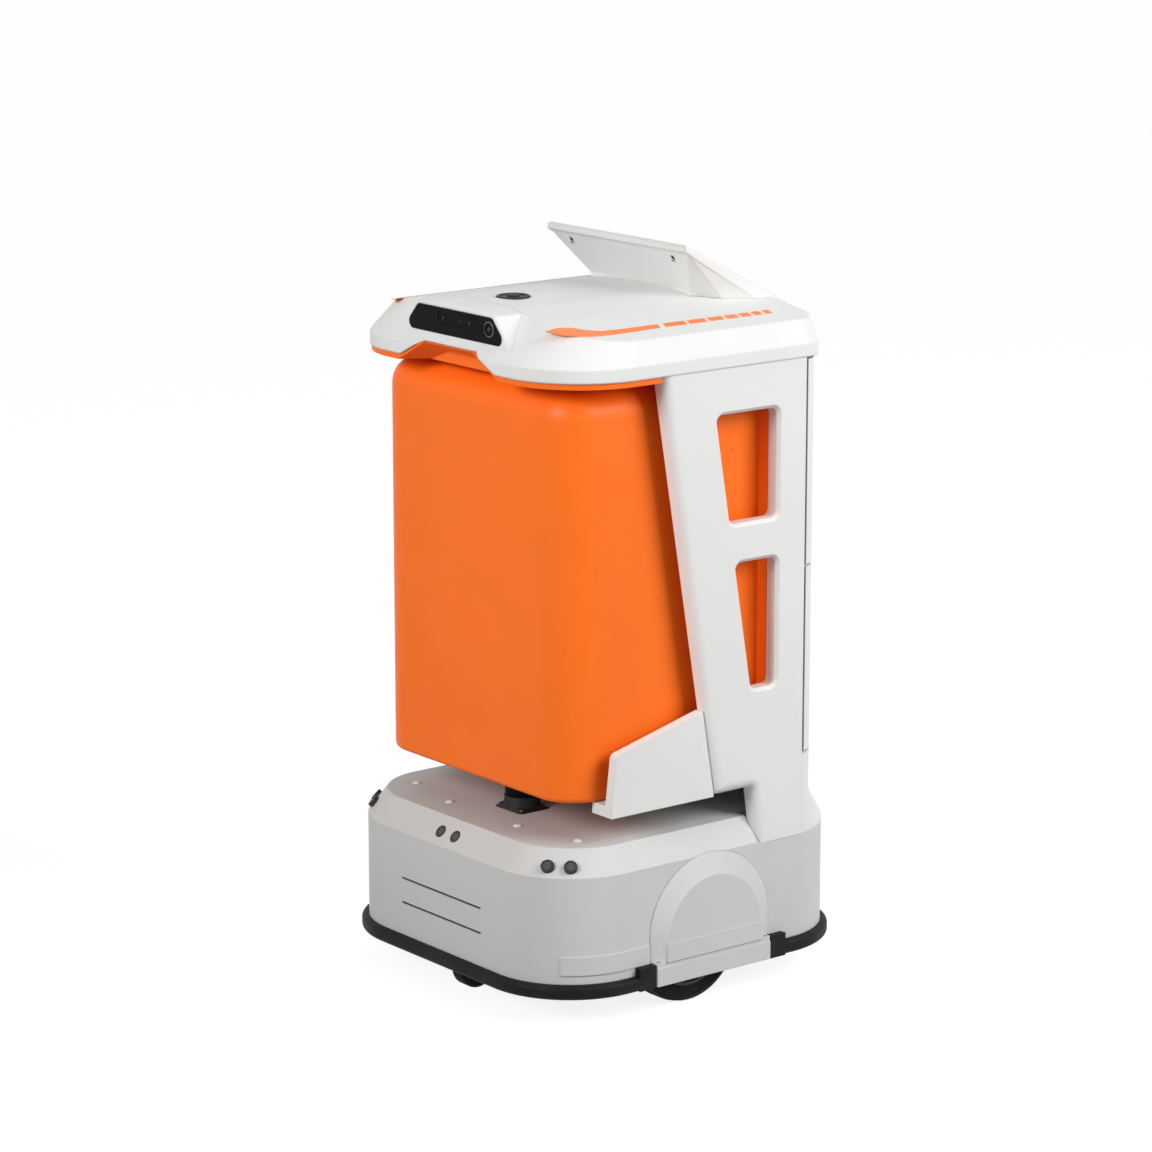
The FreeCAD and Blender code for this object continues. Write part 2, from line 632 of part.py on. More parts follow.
def caster(end, name):
    """Swivel caster: plate with its king pin, forked frame and wheel; end is -1 in front."""
    y = S.caster_reach * end
    axle_y = y - S.caster_trail
    top = S.floor_under
    plate = block(name + "_flange", -26, 26, y - 26, y + 26, top - 3, top)
    pin = cylinder(name + "_king", "z", top - 12, top, 0, y, 5)
    plates = fuse(name + "_plate", plate, pin)
    crown_low, crown_high = top - 10, top - 7
    half = S.caster_width / 2 + 1.5
    fork = Piece(name + "_side")
    fork.pad("x", -half - 3, half + 3, polygon((y + 17, crown_low), (y + 17, crown_high), (y - 17, crown_high),
                                              (axle_y - 12, S.caster_radius + 10),
                                              (axle_y - 9, S.caster_radius - 9), (axle_y + 9, S.caster_radius - 9),
                                              (axle_y + 18, S.caster_radius + 8)))
    fork.pocket("x", -half, half,
                polygon((y + 40, 0), (y + 40, crown_low), (axle_y - 60, crown_low), (axle_y - 60, 0)))
    race = cylinder(name + "_race", "z", crown_high, top - 3.3, 0, y, 15)
    bore = cylinder(name + "_king_bore", "z", crown_low - 5, top, 0, y, S.turning_gap + 5)
    axle = cylinder(name + "_axle", "x", -half - 4, half + 4, axle_y, S.caster_radius, 4)
    node(fuse(name + "_fork", cut(name + "_frame", fuse(name + "_frame_race", fork.body, race), bore), axle),
         name + "_fork")
    wheel = Piece(name + "_tread")
    r, w = S.caster_radius, S.caster_width / 2
    wheel.turn("y", polygon((-w, 4 + S.turning_gap), (w, 4 + S.turning_gap), (w, r - 3), (w - 3, r), (3 - w, r),
                            (-w, r - 3)), "H_Axis")
    bind(wheel.body, Placement__Base__y=axle_y, Placement__Base__z=r)
    node(wheel.body, name + "_wheel")
    return plates


def inner_parts():
    """Battery, motor controller and the screw caps of the deck."""
    deck = S.floor_under + S.plate_thick
    node(rounded_block("battery_pack", -85, 85, -130, 60, deck, deck + 78), "battery_pack")
    node(rounded_block("drive_controller", -70, 70, 80, 150, deck, deck + 46), "drive_controller")


def rounded_block(name, x0, x1, y0, y1, z0, z1, radius=6):
    """A box with rounded upright edges."""
    piece = Piece(name + "_body")
    piece.pad("z", z0, z1, rounded(size(x0), size(x1), size(y0), size(y1), size(radius)))
    return piece.body

# ---------------------------------------------------------------- cargo box, cradle, panels and doors
def edge_y(z):
    """Where the slanted front edge of a side panel is at a height."""
    return S.panel_low_y - (size(z) - S.panel_low) * (S.panel_low_y - S.panel_top_y) / (S.panel_top - S.panel_low)


def upright_edges(*places):
    """Picks edges parallel to z at (x, y) places."""
    def pick(edge):
        box = edge.BoundBox
        at = [(size(x).number, size(y).number) for x, y in places]
        return box.XLength < 0.01 and box.YLength < 0.01 and any(
            math.hypot(box.XMin - x, box.YMin - y) < 0.1 for x, y in at)
    return pick


def box_form(name, inset):
    """Cargo box: rounded front corners and a softly rounded top, flat behind."""
    piece = Piece(name)
    half, front = S.box_half_width - inset, -S.box_front + inset
    rear = S.flange_y + (5 if inset else 0)
    top = S.box_high - inset
    piece.pad("z", S.box_low + inset, top,
              polygon((-half, front), (half, front), (half, rear), (-half, rear)))
    piece.fillet(S.box_corner - inset, upright_edges((-half, front), (half, front)))
    piece.fillet(S.box_top_round - inset, lambda e: e.BoundBox.ZLength < 0.01 and
                 abs(e.BoundBox.ZMin - top.number) < 0.01 and e.BoundBox.YMin < rear.number - 1)
    piece.fillet(S.box_low_round - size(inset) / 2, lambda e: e.BoundBox.ZLength < 0.01 and
                 abs(e.BoundBox.ZMin - (S.box_low + inset).number) < 0.01 and e.BoundBox.YMin < rear.number - 1)
    return piece


def cargo_shell():
    """Moulded cargo box, open behind, with the flange that screws to the uprights."""
    outer = box_form("box_outer", 0)
    inner = box_form("box_inner", S.box_wall)
    wide, inside = S.flange_half_width, S.box_half_width - S.box_wall
    flange = Piece("box_flange")
    flange.pad("y", S.flange_y, S.flange_y + 3, rounded(-wide, wide, S.box_low, S.box_high, 6))
    flange.pocket("y", S.flange_y - 1, S.flange_y + 4,
                  rounded(-inside, inside, S.box_low + S.box_wall, S.box_high - S.box_wall, 6,
                          S.box_top_round - S.box_wall))
    node(fuse("cargo_shell", cut("box_hollow", outer.body, inner.body), flange.body), "cargo_shell")


def cargo_shelf():
    """Shelf between the two compartments."""
    half, front = S.box_half_width - S.box_wall - S.seat_gap, -S.box_front + S.box_wall + S.seat_gap
    piece = Piece("cargo_shelf")
    piece.pad("z", S.shelf_z - S.shelf_thick / 2, S.shelf_z + S.shelf_thick / 2,
              polygon((-half, front), (half, front), (half, S.upright_rear), (-half, S.upright_rear)))
    piece.fillet(S.box_corner - S.box_wall, upright_edges((-half, front), (half, front)))
    node(piece.body, "cargo_shelf")


def cradle():
    """Tray under the box with a cheek up each side and a U cut out in front over the lidar."""
    piece = Piece("cradle_floor")
    outer, narrow = S.cheek_outer, S.flange_half_width
    front, step = -S.cradle_front, edge_y(S.cradle_low) - 3
    rear = S.upright_front - S.seat_gap
    piece.pad("z", S.cradle_low, S.box_low,
              polygon((-outer, front), (outer, front), (outer, step), (narrow, step), (narrow, rear),
                      (-narrow, rear), (-narrow, step), (-outer, step)))
    piece.pocket("z", S.cradle_low - 1, S.box_low + 1,
                 rounded(-S.cradle_mouth, S.cradle_mouth, front * 2, -60, 30))
    cheeks = []
    for side in (-1, 1):
        cheek = Piece("cheek")
        low, high = sorted((outer * side, (outer - S.cheek_thick) * side), key=lambda s: s.number)
        cheek.pad("x", low, high,
                  polygon((front, S.cradle_low), (front, S.cradle_low + 14), (front + 8, S.cheek_front_z),
                          (edge_y(S.cheek_rear_z) - 0.8, S.cheek_rear_z),
                          (edge_y(S.cradle_low + 2) - 0.8, S.cradle_low)))
        cheek.fillet(8, lambda e: e.BoundBox.YLength < 0.01 and e.BoundBox.ZLength < 0.01
                     and e.BoundBox.YMin < -S.cradle_front.number / 2)
        cheeks.append(cheek.body)
    node(fuse("cradle", piece.body, *cheeks), "cradle")


def side_panels():
    """Side panels with two windows and the column that stands on the base."""
    inner, outer = S.panel_outer - S.panel_thick, S.panel_outer
    piece = Piece("panel")
    piece.pad("x", inner, outer,
              polygon((S.panel_top_y, S.panel_top), (edge_y(S.panel_low), S.panel_low), (S.column_y, S.panel_low),
                      (S.column_low_y, S.rear_notch_z), (S.panel_rear, S.rear_notch_z), (S.panel_rear, S.panel_top)))
    for low, high in ((S.window_1_low, S.window_1_high), (S.window_2_low, S.window_2_high)):
        piece.pocket("x", inner - 1, outer + 1,
                     polygon((edge_y(low) + S.window_frame, low), (S.window_rear, low), (S.window_rear, high),
                             (edge_y(high) + S.window_frame, high)))

    def across(edge):
        return edge.BoundBox.YLength < 0.01 and edge.BoundBox.ZLength < 0.01

    piece.fillet(9, lambda e: across(e) and S.window_2_low.number - 1 < e.BoundBox.ZMin < S.window_1_high.number + 1
                 and e.BoundBox.YMin < S.window_rear.number + 1)
    piece.fillet(6, lambda e: across(e) and abs(e.BoundBox.ZMin - S.panel_low.number) < 0.01)
    piece.chamfer(S.window_round, lambda e: abs(e.BoundBox.XMin - outer.number) < 0.01 and e.BoundBox.XLength < 0.01
                 and S.window_2_low.number - 1 < e.BoundBox.ZMin and e.BoundBox.ZMax < S.window_1_high.number + 1
                 and e.BoundBox.YMax < S.window_rear.number + 1)
    slope = (S.panel_low_y - S.panel_top_y).number
    piece.fillet(S.panel_round, lambda e: abs(e.BoundBox.XMin - outer.number) < 0.01 and e.BoundBox.XLength < 0.01
                 and e.BoundBox.YLength > slope * 0.8 and e.BoundBox.ZLength > 300)
    piece.pocket("z", S.rear_notch_z - 1, S.panel_top + 1,
                 polygon((inner - 1, S.upright_rear + 2), (outer - S.skin, S.upright_rear + 2),
                         (outer - S.skin, S.panel_rear + 9), (inner - 1, S.panel_rear + 9)))
    right = node(piece.body, "side_panel_right")
    node(mirror("side_panel_left", right), "side_panel_left")


def uprights():
    """Extruded posts from the floor plate to the head."""
    right = block("post_right", S.upright_inner, S.flange_half_width, S.upright_front, S.upright_rear,
                  S.floor_under + S.plate_thick, S.trim_low)
    node(fuse("uprights", right, mirror("post_left", right)), "uprights")


def wrap(inset, name, low, high, front):
    """Band round the back of the body, between two heights, open towards the front."""
    piece = Piece(name)
    wide, rear = S.panel_outer - inset, S.door_rear - inset
    piece.pad("z", low, high, rounded(-wide, wide, -rear, rear, S.door_corner - inset))
    piece.pocket("z", low - 1, high + 1, polygon((-wide * 2, -rear * 2), (wide * 2, -rear * 2),
                                                 (wide * 2, front), (-wide * 2, front)))
    return piece


def rear_cover_form(name, inset):
    """Cover under the doors, flaring down to the outline of the base."""
    piece = Piece(name)
    wide, rear = S.panel_outer - inset, S.door_rear - inset
    top = rounded(-wide, wide, -rear, rear, S.door_corner - inset)
    foot = S.rear_notch_z - (2 if inset else 0)
    piece.pad("z", foot, S.rear_notch_z + 6, base_outline(inset))
    piece.loft("z", (S.rear_notch_z + 6, base_outline(inset)), (S.flare_z, top))
    piece.pad("z", S.flare_z, S.door_low - S.door_gap - inset, top)
    front = S.panel_rear + S.seat_gap - inset
    far = S.base_half_length * 2
    piece.pocket("z", foot - 1, S.door_low + 1, polygon((-far, -far), (far, -far), (far, front), (-far, front)))
    return piece


def rear_lower_cover():
    outer = rear_cover_form("rear_cover_outer", 0)
    inner = rear_cover_form("rear_cover_inner", S.skin)
    hole = cylinder("stop_hole", "y", S.door_rear - 9, S.door_rear + 9, S.stop_x, S.stop_z, 9)
    node(cut("rear_lower_cover", outer.body, inner.body, hole), "rear_lower_cover")


def door(label, low, high):
    """Rear door: a curved tray with its hinge tube, and the flat liner inside it."""
    outer = wrap(0, label + "_outer", low, high, S.door_front)
    inner = wrap(S.skin, label + "_inner", low + S.skin, high - S.skin, S.door_front - 1)
    tray = cut(label + "_tray", outer.body, inner.body)
    tube = cylinder(label + "_tube", "z", low, high, S.pin_x, S.pin_y, S.pin_radius + 3.5)
    bore = cylinder(label + "_bore", "z", low - 1, high + 1, S.pin_x, S.pin_y, S.pin_radius + S.turning_gap)
    node(cut(label, fuse(label + "_body", tray, tube), bore), label)
    liner = Piece(label + "_plate")
    gap = S.skin + S.seat_gap
    liner.pad("y", S.door_front, S.door_front + 3,
              rounded(S.pin_x + 10, S.panel_outer - 7, low + gap, high - gap, 6))
    node(liner.body, label + "_liner")


def doors():
    split_low, split_high = S.shelf_z - S.door_gap / 2, S.shelf_z + S.door_gap / 2
    door("upper_door", split_high, S.door_high)
    door("lower_door", S.door_low, split_low)
    brackets = []
    spare = (S.door_gap - S.bracket_thick) / 2
    heights = (S.door_low - S.door_gap + spare, split_low + spare, S.door_high + spare)
    for z in heights:
        top = z + S.bracket_thick
        arm = fuse("bracket", cylinder("bracket_eye", "z", z, top, S.pin_x, S.pin_y, 8),
                   block("bracket_arm", S.pin_x - 8, S.pin_x + 16, S.upright_rear + 2.5, S.pin_y, z, top),
                   block("bracket_foot", -S.flange_half_width, S.pin_x + 16, S.upright_rear,
                         S.upright_rear + 3, z, top))
        bore = cylinder("bracket_bore", "z", z - 1, top + 1, S.pin_x, S.pin_y, S.pin_radius)
        brackets.append(cut("bracket_plate", arm, bore))
    node(fuse("hinge_brackets", *brackets), "hinge_brackets")
    node(cylinder("hinge_pin", "z", heights[0], heights[2] + S.bracket_thick, S.pin_x, S.pin_y, S.pin_radius),
         "hinge_pin")
    locks = [block("lock", S.upright_inner, S.flange_half_width, S.upright_rear, S.door_front - S.seat_gap,
                   z - 30, z + 30)
             for z in ((S.door_low + split_low) / 2, (S.door_high + split_high) / 2)]
    node(fuse("door_locks", *locks), "door_locks")

# ---------------------------------------------------------------- head: cover, sensors and display
def head_outline(side, front, rear):
    """Plan outline of the head, moved in by different amounts at the sides, in front and behind."""
    half = S.head_half_width - side
    return rounded(-half, half, front - S.head_front, S.head_rear - rear, S.head_front_corner - side,
                   S.head_rear_corner - side)


def roof_form(name, inset):
    """Everything under the crowned roof of the head."""
    inset = size(inset)
    slope = (S.plateau_z - S.shoulder_z) / (S.shoulder_half - S.plateau_half)
    reach = S.head_half_width + 20
    eave = S.plateau_z - (reach - S.plateau_half) * slope - inset
    half, ridge, flat = S.plateau_half, S.crown_z - inset, S.plateau_z - inset
    quarter = flat + (ridge - flat) * 0.78
    foot = S.trim_low - 9
    roof = Piece(name)
    roof.pad("y", -S.head_front - 20, S.head_rear + 20,
             polygon((-reach, foot), (reach, foot), (reach, eave), (half, flat), (half / 2, quarter),
                     (0, ridge), (-half / 2, quarter), (-half, flat), (-reach, eave)))
    return roof.body


def head_form(name, inset):
    """Head body: an upright band, sloping faces above it, a crowned roof and the raised sensor hood."""
    inset = size(inset)
    slab = Piece(name + "_slab")
    foot = S.head_low - inset * 3
    band_top = S.head_low + S.head_band
    top = S.crown_z + 6
    rise = top - band_top
    lean = (S.head_half_width - S.shoulder_half) / (S.shoulder_z - band_top)
    slab.pad("z", foot, band_top, head_outline(inset, inset, inset))
    slab.loft("z", (band_top, head_outline(inset, inset, inset)),
              (top, head_outline(inset + rise * lean, inset + rise * S.front_lean, inset + rise * lean)))
    body = common(name + "_body", slab.body, roof_form(name + "_roof", inset))
    hood = Piece(name + "_hood")
    low, top_half, low_half = S.hood_low, S.hood_half_top - inset / 2, S.hood_half_low - inset / 2
    eave = S.hood_top + 2 - inset
    hood.pad("y", inset - S.hood_face, -60,
             polygon((-low_half, low), (low_half, low), (top_half, eave), (top_half / 2, eave + 4),
                     (-top_half / 2, eave + 4), (-top_half, eave)))
    if not inset.number:
        hood.fillet(7, lambda e: e.BoundBox.ZLength > 20 and e.BoundBox.YLength < 0.01)
        hood.fillet(5, lambda e: abs(e.BoundBox.YMax + S.hood_face.number) < 0.01
                    and e.BoundBox.ZMin > S.hood_low.number + 1)
    return fuse(name, body, hood.body)


def sensor_outline(grow):
    """The dark trapezoid on the front of the hood."""
    grow = size(grow)
    low, top = S.window_low_half + grow, S.window_top_half + grow
    return polygon((-low, S.sensor_low - grow), (low, S.sensor_low - grow), (top, S.sensor_high + grow),
                   (-top, S.sensor_high + grow))


def notch_outline(grow):
    """The raised cut-out in the lower front edge of the head cover."""
    low = S.head_low - 4
    return polygon((-110 - size(grow), low), (110 + size(grow), low), (79, S.head_low + 11 + size(grow)),
                   (55.5, S.notch_high + size(grow)), (-55.5, S.notch_high + size(grow)),
                   (-79, S.head_low + 11 + size(grow)))


def head_cover():
    """White moulded cover of the head, hollow below, with its notch, recess and camera hole."""
    outer = head_form("cover_outer", 0)
    inner = head_form("cover_inner", S.head_wall)
    notch = Piece("notch")
    notch.pad("y", -S.head_front - 5, -S.notch_rear, notch_outline(0))
    recess = Piece("recess")
    recess.pad("y", -S.hood_face - 9, 3 - S.hood_face, sensor_outline(S.seat_gap))
    recess.fillet(9, lambda e: e.BoundBox.XLength < 0.01 and e.BoundBox.ZLength < 0.01)
    backing = Piece("recess_back")
    backing.pad("y", 3 - S.hood_face, 6 - S.hood_face, sensor_outline(6))
    eye = cylinder("eye_hole", "z", S.plateau_z, S.crown_z + 9, 0, S.eye_y, S.eye_radius + S.seat_gap)
    hollow = cut("cover_hollow", inner, backing.body)
    space = Piece("display_space")
    half, tip, top = S.display_half_width + S.seat_gap, S.display_tip_y - 9, S.display_top + 9
    far, drop = S.display_rear_y + 40, S.seat_gap * 1.4
    space.pad("x", -half, half, polygon((tip, top), (tip, top - 18 - drop), (S.band_rear_y, S.band_rear_z - drop),
                                        (S.head_rear + 1, S.band_rear_z - 6 - drop),
                                        (far, S.band_rear_z - 14), (far, top)))
    node(cut("head_cover", outer, hollow, notch.body, recess.body, eye, space.body), "head_cover")


def head_base():
    """Orange tray that closes the head below, with the sloping fascia behind the notch."""
    front = Piece("tray_front")
    front.pad("z", S.trim_low, S.head_low, head_outline(2, 2, 2))
    far = S.head_rear * 2
    narrow = S.flange_half_width
    split = S.panel_top_y - 1
    for side in (-1, 1):
        low, high = sorted((narrow * side, far * 2 * side), key=lambda s: s.number)
        front.pocket("z", S.trim_low - 1, S.head_low + 1,
                     polygon((low, split), (high, split), (high, far), (low, far)))
    front.pocket("z", S.trim_low - 1, S.head_low + 1,
                 polygon((-far, S.upright_rear), (far, S.upright_rear), (far, far), (-far, far)))
    chin = Piece("chin")
    chin.pad("y", 2.5 - S.head_front, -S.notch_rear + 1, notch_outline(-0.4))
    under = Piece("under")
    f, r, z = -S.head_front - 5, -S.notch_rear - 1, S.trim_low - 1
    under.loft("y", (f, polygon((-112, z), (112, z), (112, z + 1), (79, S.head_low + 10), (54, S.notch_high + 2),
                                (-54, S.notch_high + 2), (-79, S.head_low + 10), (-112, z + 1))),
               (r, polygon((-84, z), (84, z), (84, z + 1), (62, S.head_low), (42, S.head_low + 7),
                           (-42, S.head_low + 7), (-62, S.head_low), (-84, z + 1))))
    slot = Piece("slot")
    slot.pad("y", -S.head_front - 5, -S.head_front + 18,
             rounded(-33.5, 33.5, S.notch_high - 11, S.notch_high - 7, 1.8))
    node(cut("head_base", fuse("tray", front.body, chin.body), under.body, slot.body), "head_base")


def sensors():
    """Dark window with a depth camera and a colour camera, and the camera that looks up."""
    face = S.hood_face
    window = Piece("sensor_window")
    window.pad("y", -face - 0.5, 3 - face - S.seat_gap, sensor_outline(0))
    window.fillet(9, lambda e: e.BoundBox.XLength < 0.01 and e.BoundBox.ZLength < 0.01)
    depth = (-35, size(42), size(889), size(904))
    window.pocket("y", -face - 1, 3 - face, rounded(*depth, size(2)))
    window.pocket("y", -face - 1, 3 - face, disc(S.lens_x, S.lens_z, S.lens_radius))
    node(window.body, "sensor_window")
    camera = Piece("depth_camera")
    x0, x1, z0, z1 = depth
    gap = S.seat_gap / 2
    camera.pad("y", -face, 3 - face - S.seat_gap, rounded(x0 + gap, x1 - gap, z0 + gap, z1 - gap, size(2)))
    node(camera.body, "depth_camera")
    lens = Piece("front_camera")
    y0, y1 = -face - 1.5, 3 - face - S.seat_gap
    lens.pad("y", y0, y1, disc(S.lens_x, S.lens_z, S.lens_radius - gap))
    lens.pocket("y", y0 - 1, y0 + 2, disc(S.lens_x, S.lens_z, S.lens_radius - 2.5))
    node(lens.body, "front_camera")
    eye = Piece("top_camera")
    z = S.crown_z
    eye.turn("y", polygon((0, z - 9), (S.eye_radius, z - 9), (S.eye_radius, z + 0.5), (S.eye_radius - 4, z + 1.2),
                          (S.eye_radius - 5, z - 0.5), (8, z), (5, z + 2.5), (0, z + 3.5)))
    bind(eye.body, Placement__Base__y=S.eye_y)
    node(eye.body, "top_camera")


def screen_frame():
    """Place and tilt of the display's upper face: middle of its top edge, and the angle it falls at."""
    run = S.display_rear_y - S.display_tip_y - 3
    fall = S.display_top - S.display_rear_z
    tilt = math.degrees(math.atan2(fall.number, run.number))
    origin = V(0, S.display_tip_y.number + 3, S.display_top.number)
    return FreeCAD.Placement(origin, FreeCAD.Rotation(V(1, 0, 0), -tilt)), math.hypot(run.number, fall.number)


def screen_block(name, half, start, end, low, high):
    """A box lying in the display's upper face, from start to end down the slope."""
    frame, length = screen_frame()
    made = doc.addObject("Part::Box", name)
    bind(made, Length=size(half) * 2, Width=size(length) - start - end, Height=size(high) - low)
    made.Placement = frame.multiply(FreeCAD.Placement(V(-size(half).number, size(start).number, size(low).number),
                                                      FreeCAD.Rotation()))
    return made


def pedestal(name):
    """Solid under the display, drawn in from the plate's lower edge to its foot on the head."""
    half, tip, top = S.display_half_width.number, S.display_tip_y.number, S.display_top.number
    foot, wide = S.foot_half_front.number, S.foot_half_rear.number
    points = {"a": (half, tip + 3, top - 9), "b": (half, S.band_rear_y.number, S.band_rear_z.number),
              "c": (foot, S.foot_front_y.number, S.crown_z.number),
              "d": (wide, S.foot_side_y.number, S.foot_side_z.number),
              "e": (wide, S.head_rear.number - 2, S.foot_side_z.number - 12)}
    right = {k: V(*p) for k, p in points.items()}
    left = {k: V(-p[0], p[1], p[2]) for k, p in points.items()}

    def face(*corners):
        return Part.Face(Part.makePolygon([*corners, corners[0]]))

    r, l = right, left
    low_front = V(foot, r["c"].y, r["e"].z), V(-foot, r["c"].y, r["e"].z)
    under = V(wide, r["d"].y, r["e"].z), V(-wide, r["d"].y, r["e"].z)
    faces = [face(l["a"], r["a"], r["c"], l["c"]),
             face(low_front[1], low_front[0], under[0], r["e"], l["e"], under[1]),
             face(l["c"], r["c"], low_front[0], low_front[1]),
             face(l["e"], r["e"], r["b"], l["b"]),
             face(l["b"], r["b"], r["a"], l["a"])]
    for side, base, under_d in ((r, low_front[0], under[0]), (l, low_front[1], under[1])):
        faces += [face(side["c"], side["d"], under_d, base), face(side["d"], side["e"], under_d),
                  face(side["a"], side["d"], side["c"]), face(side["a"], side["b"], side["d"]),
                  face(side["b"], side["e"], side["d"])]
    shape = Part.Solid(Part.Shell(faces))
    if shape.Volume < 0:
        shape.reverse()
    made = doc.addObject("Part::Feature", name)
    made.Shape = shape
    return made


def display():
    """Tilted touch display: housing on its pedestal, glass, and the panel behind the glass."""
    half, tip, top = S.display_half_width, S.display_tip_y, S.display_top
    plate = Piece("display_plate")
    plate.pad("x", -half, half,
              polygon((tip, top - 9), (tip, top - 2), (tip + 3, top), (S.display_rear_y, S.display_rear_z),
                      (S.display_rear_y + 11, S.display_rear_z - 15), (S.head_rear + 1, S.band_rear_z - 6),
                      (S.band_rear_y, S.band_rear_z)))
    plate.fillet(6, lambda e: e.BoundBox.XLength < 0.01 and e.BoundBox.YLength > 100
                 and e.BoundBox.ZMax > top.number - 3)
    glass_low = -S.glass_thick
    pocket = screen_block("glass_pocket", S.glass_half + S.seat_gap, 11 - S.seat_gap, 14 - S.seat_gap,
                          glass_low - S.seat_gap, 5)
    deep = screen_block("panel_pocket", S.glass_half - 9, 20, 24, glass_low - 6, 0)
    stand = cut("display_stand", pedestal("display_pedestal"), roof_form("foot_print", 0))
    whole = fuse("display_body", plate.body, stand)
    holes = [cylinder("microphone_hole", "z", S.hole_z - 12, S.hole_z + 12, S.hole_x * side, S.hole_y, S.hole_radius)
             for side in (-1, 1)]
    node(cut("display_housing", whole, pocket, deep, *holes), "display_housing")
    node(screen_block("display_glass", S.glass_half, 11, 14, glass_low, 0), "display_glass")
    node(screen_block("display_panel", S.glass_half - 10, 21, 25, glass_low - 5.5, glass_low - S.seat_gap),
         "display_panel")


def main_computer():
    """Computer in the head, on the tray."""
    node(rounded_block("main_computer", -90, 90, -100, 40, S.head_low, S.head_low + 38), "main_computer")


def lidar():
    """Laser scanner on the deck: flared foot, housing, clear window, and the rotor inside."""
    x, y, deck = S.lidar_x, S.lidar_y, S.deck_top
    foot = Piece("lidar_foot")
    foot.loft("z", (deck, rounded(x - 30, x + 30, y - 26, y + 26, size(8))),
              (deck + 5, rounded(x - 25, x + 25, y - 22, y + 22, size(8))))
    drum = cylinder("lidar_drum", "z", deck + 4, deck + 18, x, y, S.lidar_radius)
    low, high = deck + 18, deck + 38
    shell = cylinder("lidar_window_outer", "z", low, high, x, y, S.lidar_radius - 1)
    hollow = cylinder("lidar_window_inner", "z", low - 1, high + 1, x, y, S.lidar_radius - 3)
    node(cut("lidar_window", shell, hollow), "lidar_window")
    cap = cylinder("lidar_top", "z", high, high + 9, x, y, S.lidar_radius)
    shaft = cylinder("lidar_shaft", "z", low, high, x, y, 4)
    node(fuse("lidar_housing", foot.body, drum, shaft, cap), "lidar_housing")
    rotor = cylinder("lidar_drum_turning", "z", low + 0.4, high - 0.4, x, y, S.lidar_radius - 4)
    bore = cylinder("lidar_bore", "z", low - 1, high + 1, x, y, 4 + S.turning_gap)
    mirror_flat = block("lidar_flat", x - 30, x + 30, y - 30, y - S.lidar_radius + 9, low + 5, high - 5)
    node(cut("lidar_rotor", rotor, bore, mirror_flat), "lidar_rotor")


def controls():
    """Emergency stop and power button with their collars, and the charging contacts, all behind."""
    y = S.door_rear
    x, z = S.stop_x, S.stop_z
    collar = cut("stop_ring", cylinder("stop_ring_outer", "y", y, y + 5, x, z, 19),
                 cylinder("stop_ring_inner", "y", y - 1, y + 6, x, z, 9))
    button = Piece("stop_button")
    lift = S.stop_travel + 5.5
    button.turn("z", polygon((0, y - 8), (8.9, y - 8), (8.9, y + lift), (16, y + lift), (17, y + lift + 3),
                             (13, y + lift + 9), (0, y + lift + 11)))
    button.body.Placement = FreeCAD.Placement(V(0, 0, 0), FreeCAD.Rotation(V(0, 1, 0), 0))
    put(button.body, x, 0, z)
    node(button.body, "stop_button")
    y = S.base_half_length
    x, z = S.power_x, S.power_z
    ring = cut("power_ring", cylinder("power_ring_outer", "y", y - S.base_wall - 6, y + 2, x, z, S.collar_radius),
               cylinder("power_ring_inner", "y", y - S.base_wall - 7, y + 3, x, z, 9))
    node(fuse("button_collars", collar, ring), "button_collars")
    node(cylinder("power_button", "y", y - S.base_wall - 4, y + 2 + S.power_travel, x, z, 8.9), "power_button")
    port = Piece("charge_plate")
    port.pad("y", y - 6, y + 3, rounded(-S.port_half, S.port_half, S.port_low, S.port_high, 2))
    for z0 in (104, 120):
        port.pocket("y", y + 1, y + 9, rounded(-50, size(50), z0, size(z0 + 8), size(2)))
    node(port.body, "charge_port")
    strips = [block("contact", -49.5, 49.5, y + 1, y + 3.5, z0 + 0.5, z0 + 7.5) for z0 in (104, 120)]
    node(fuse("charge_contacts", *strips), "charge_contacts")

# ---------------------------------------------------------------- the robot
chassis_plate()
bumper_rails()
bumpers()
base_shell()
arch_covers()
drive_side()
node(fuse("caster_plates", caster(-1, "front_caster"), caster(1, "rear_caster")), "caster_plates")
inner_parts()
deck_screw_caps()
cargo_shell()
cargo_shelf()
cradle()
side_panels()
uprights()
rear_lower_cover()
doors()
head_cover()
head_base()
sensors()
display()
main_computer()
lidar()
controls()
doc.recompute()

# ---------------------------------------------------------------- checks and files
for thing in doc.Objects:
    if "Invalid" in thing.State or "Error" in thing.State:
        raise RuntimeError("not built: %s %s" % (thing.Label, thing.State))
os.makedirs("parts", exist_ok=True)
for part in NODES:
    if part.Shape.isNull() or not part.Shape.isValid():
        raise RuntimeError("bad shape: " + part.Label)
for part in NODES:
    part.Shape.exportStep("parts/%s.step" % part.Label)
    print(part.Label, len(part.Shape.Solids), round(part.Shape.Volume))
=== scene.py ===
# %% [markdown]
# # An indoor delivery robot
# The robot is a driven base with a rubber bumper, two slanted side panels that hold an orange cargo box, a
# head full of cameras and a tilted touch display. Its structure comes in as a fixed frame. This script
# gives every part its finish and adds the fine pieces that a moulding shop, a sprayer and an assembler
# would add: inlays, treads, lenses, screws and grilles. Everything is in metres, front towards -Y.

import json
import math

import bmesh
import bpy
from mathutils import Matrix, Vector

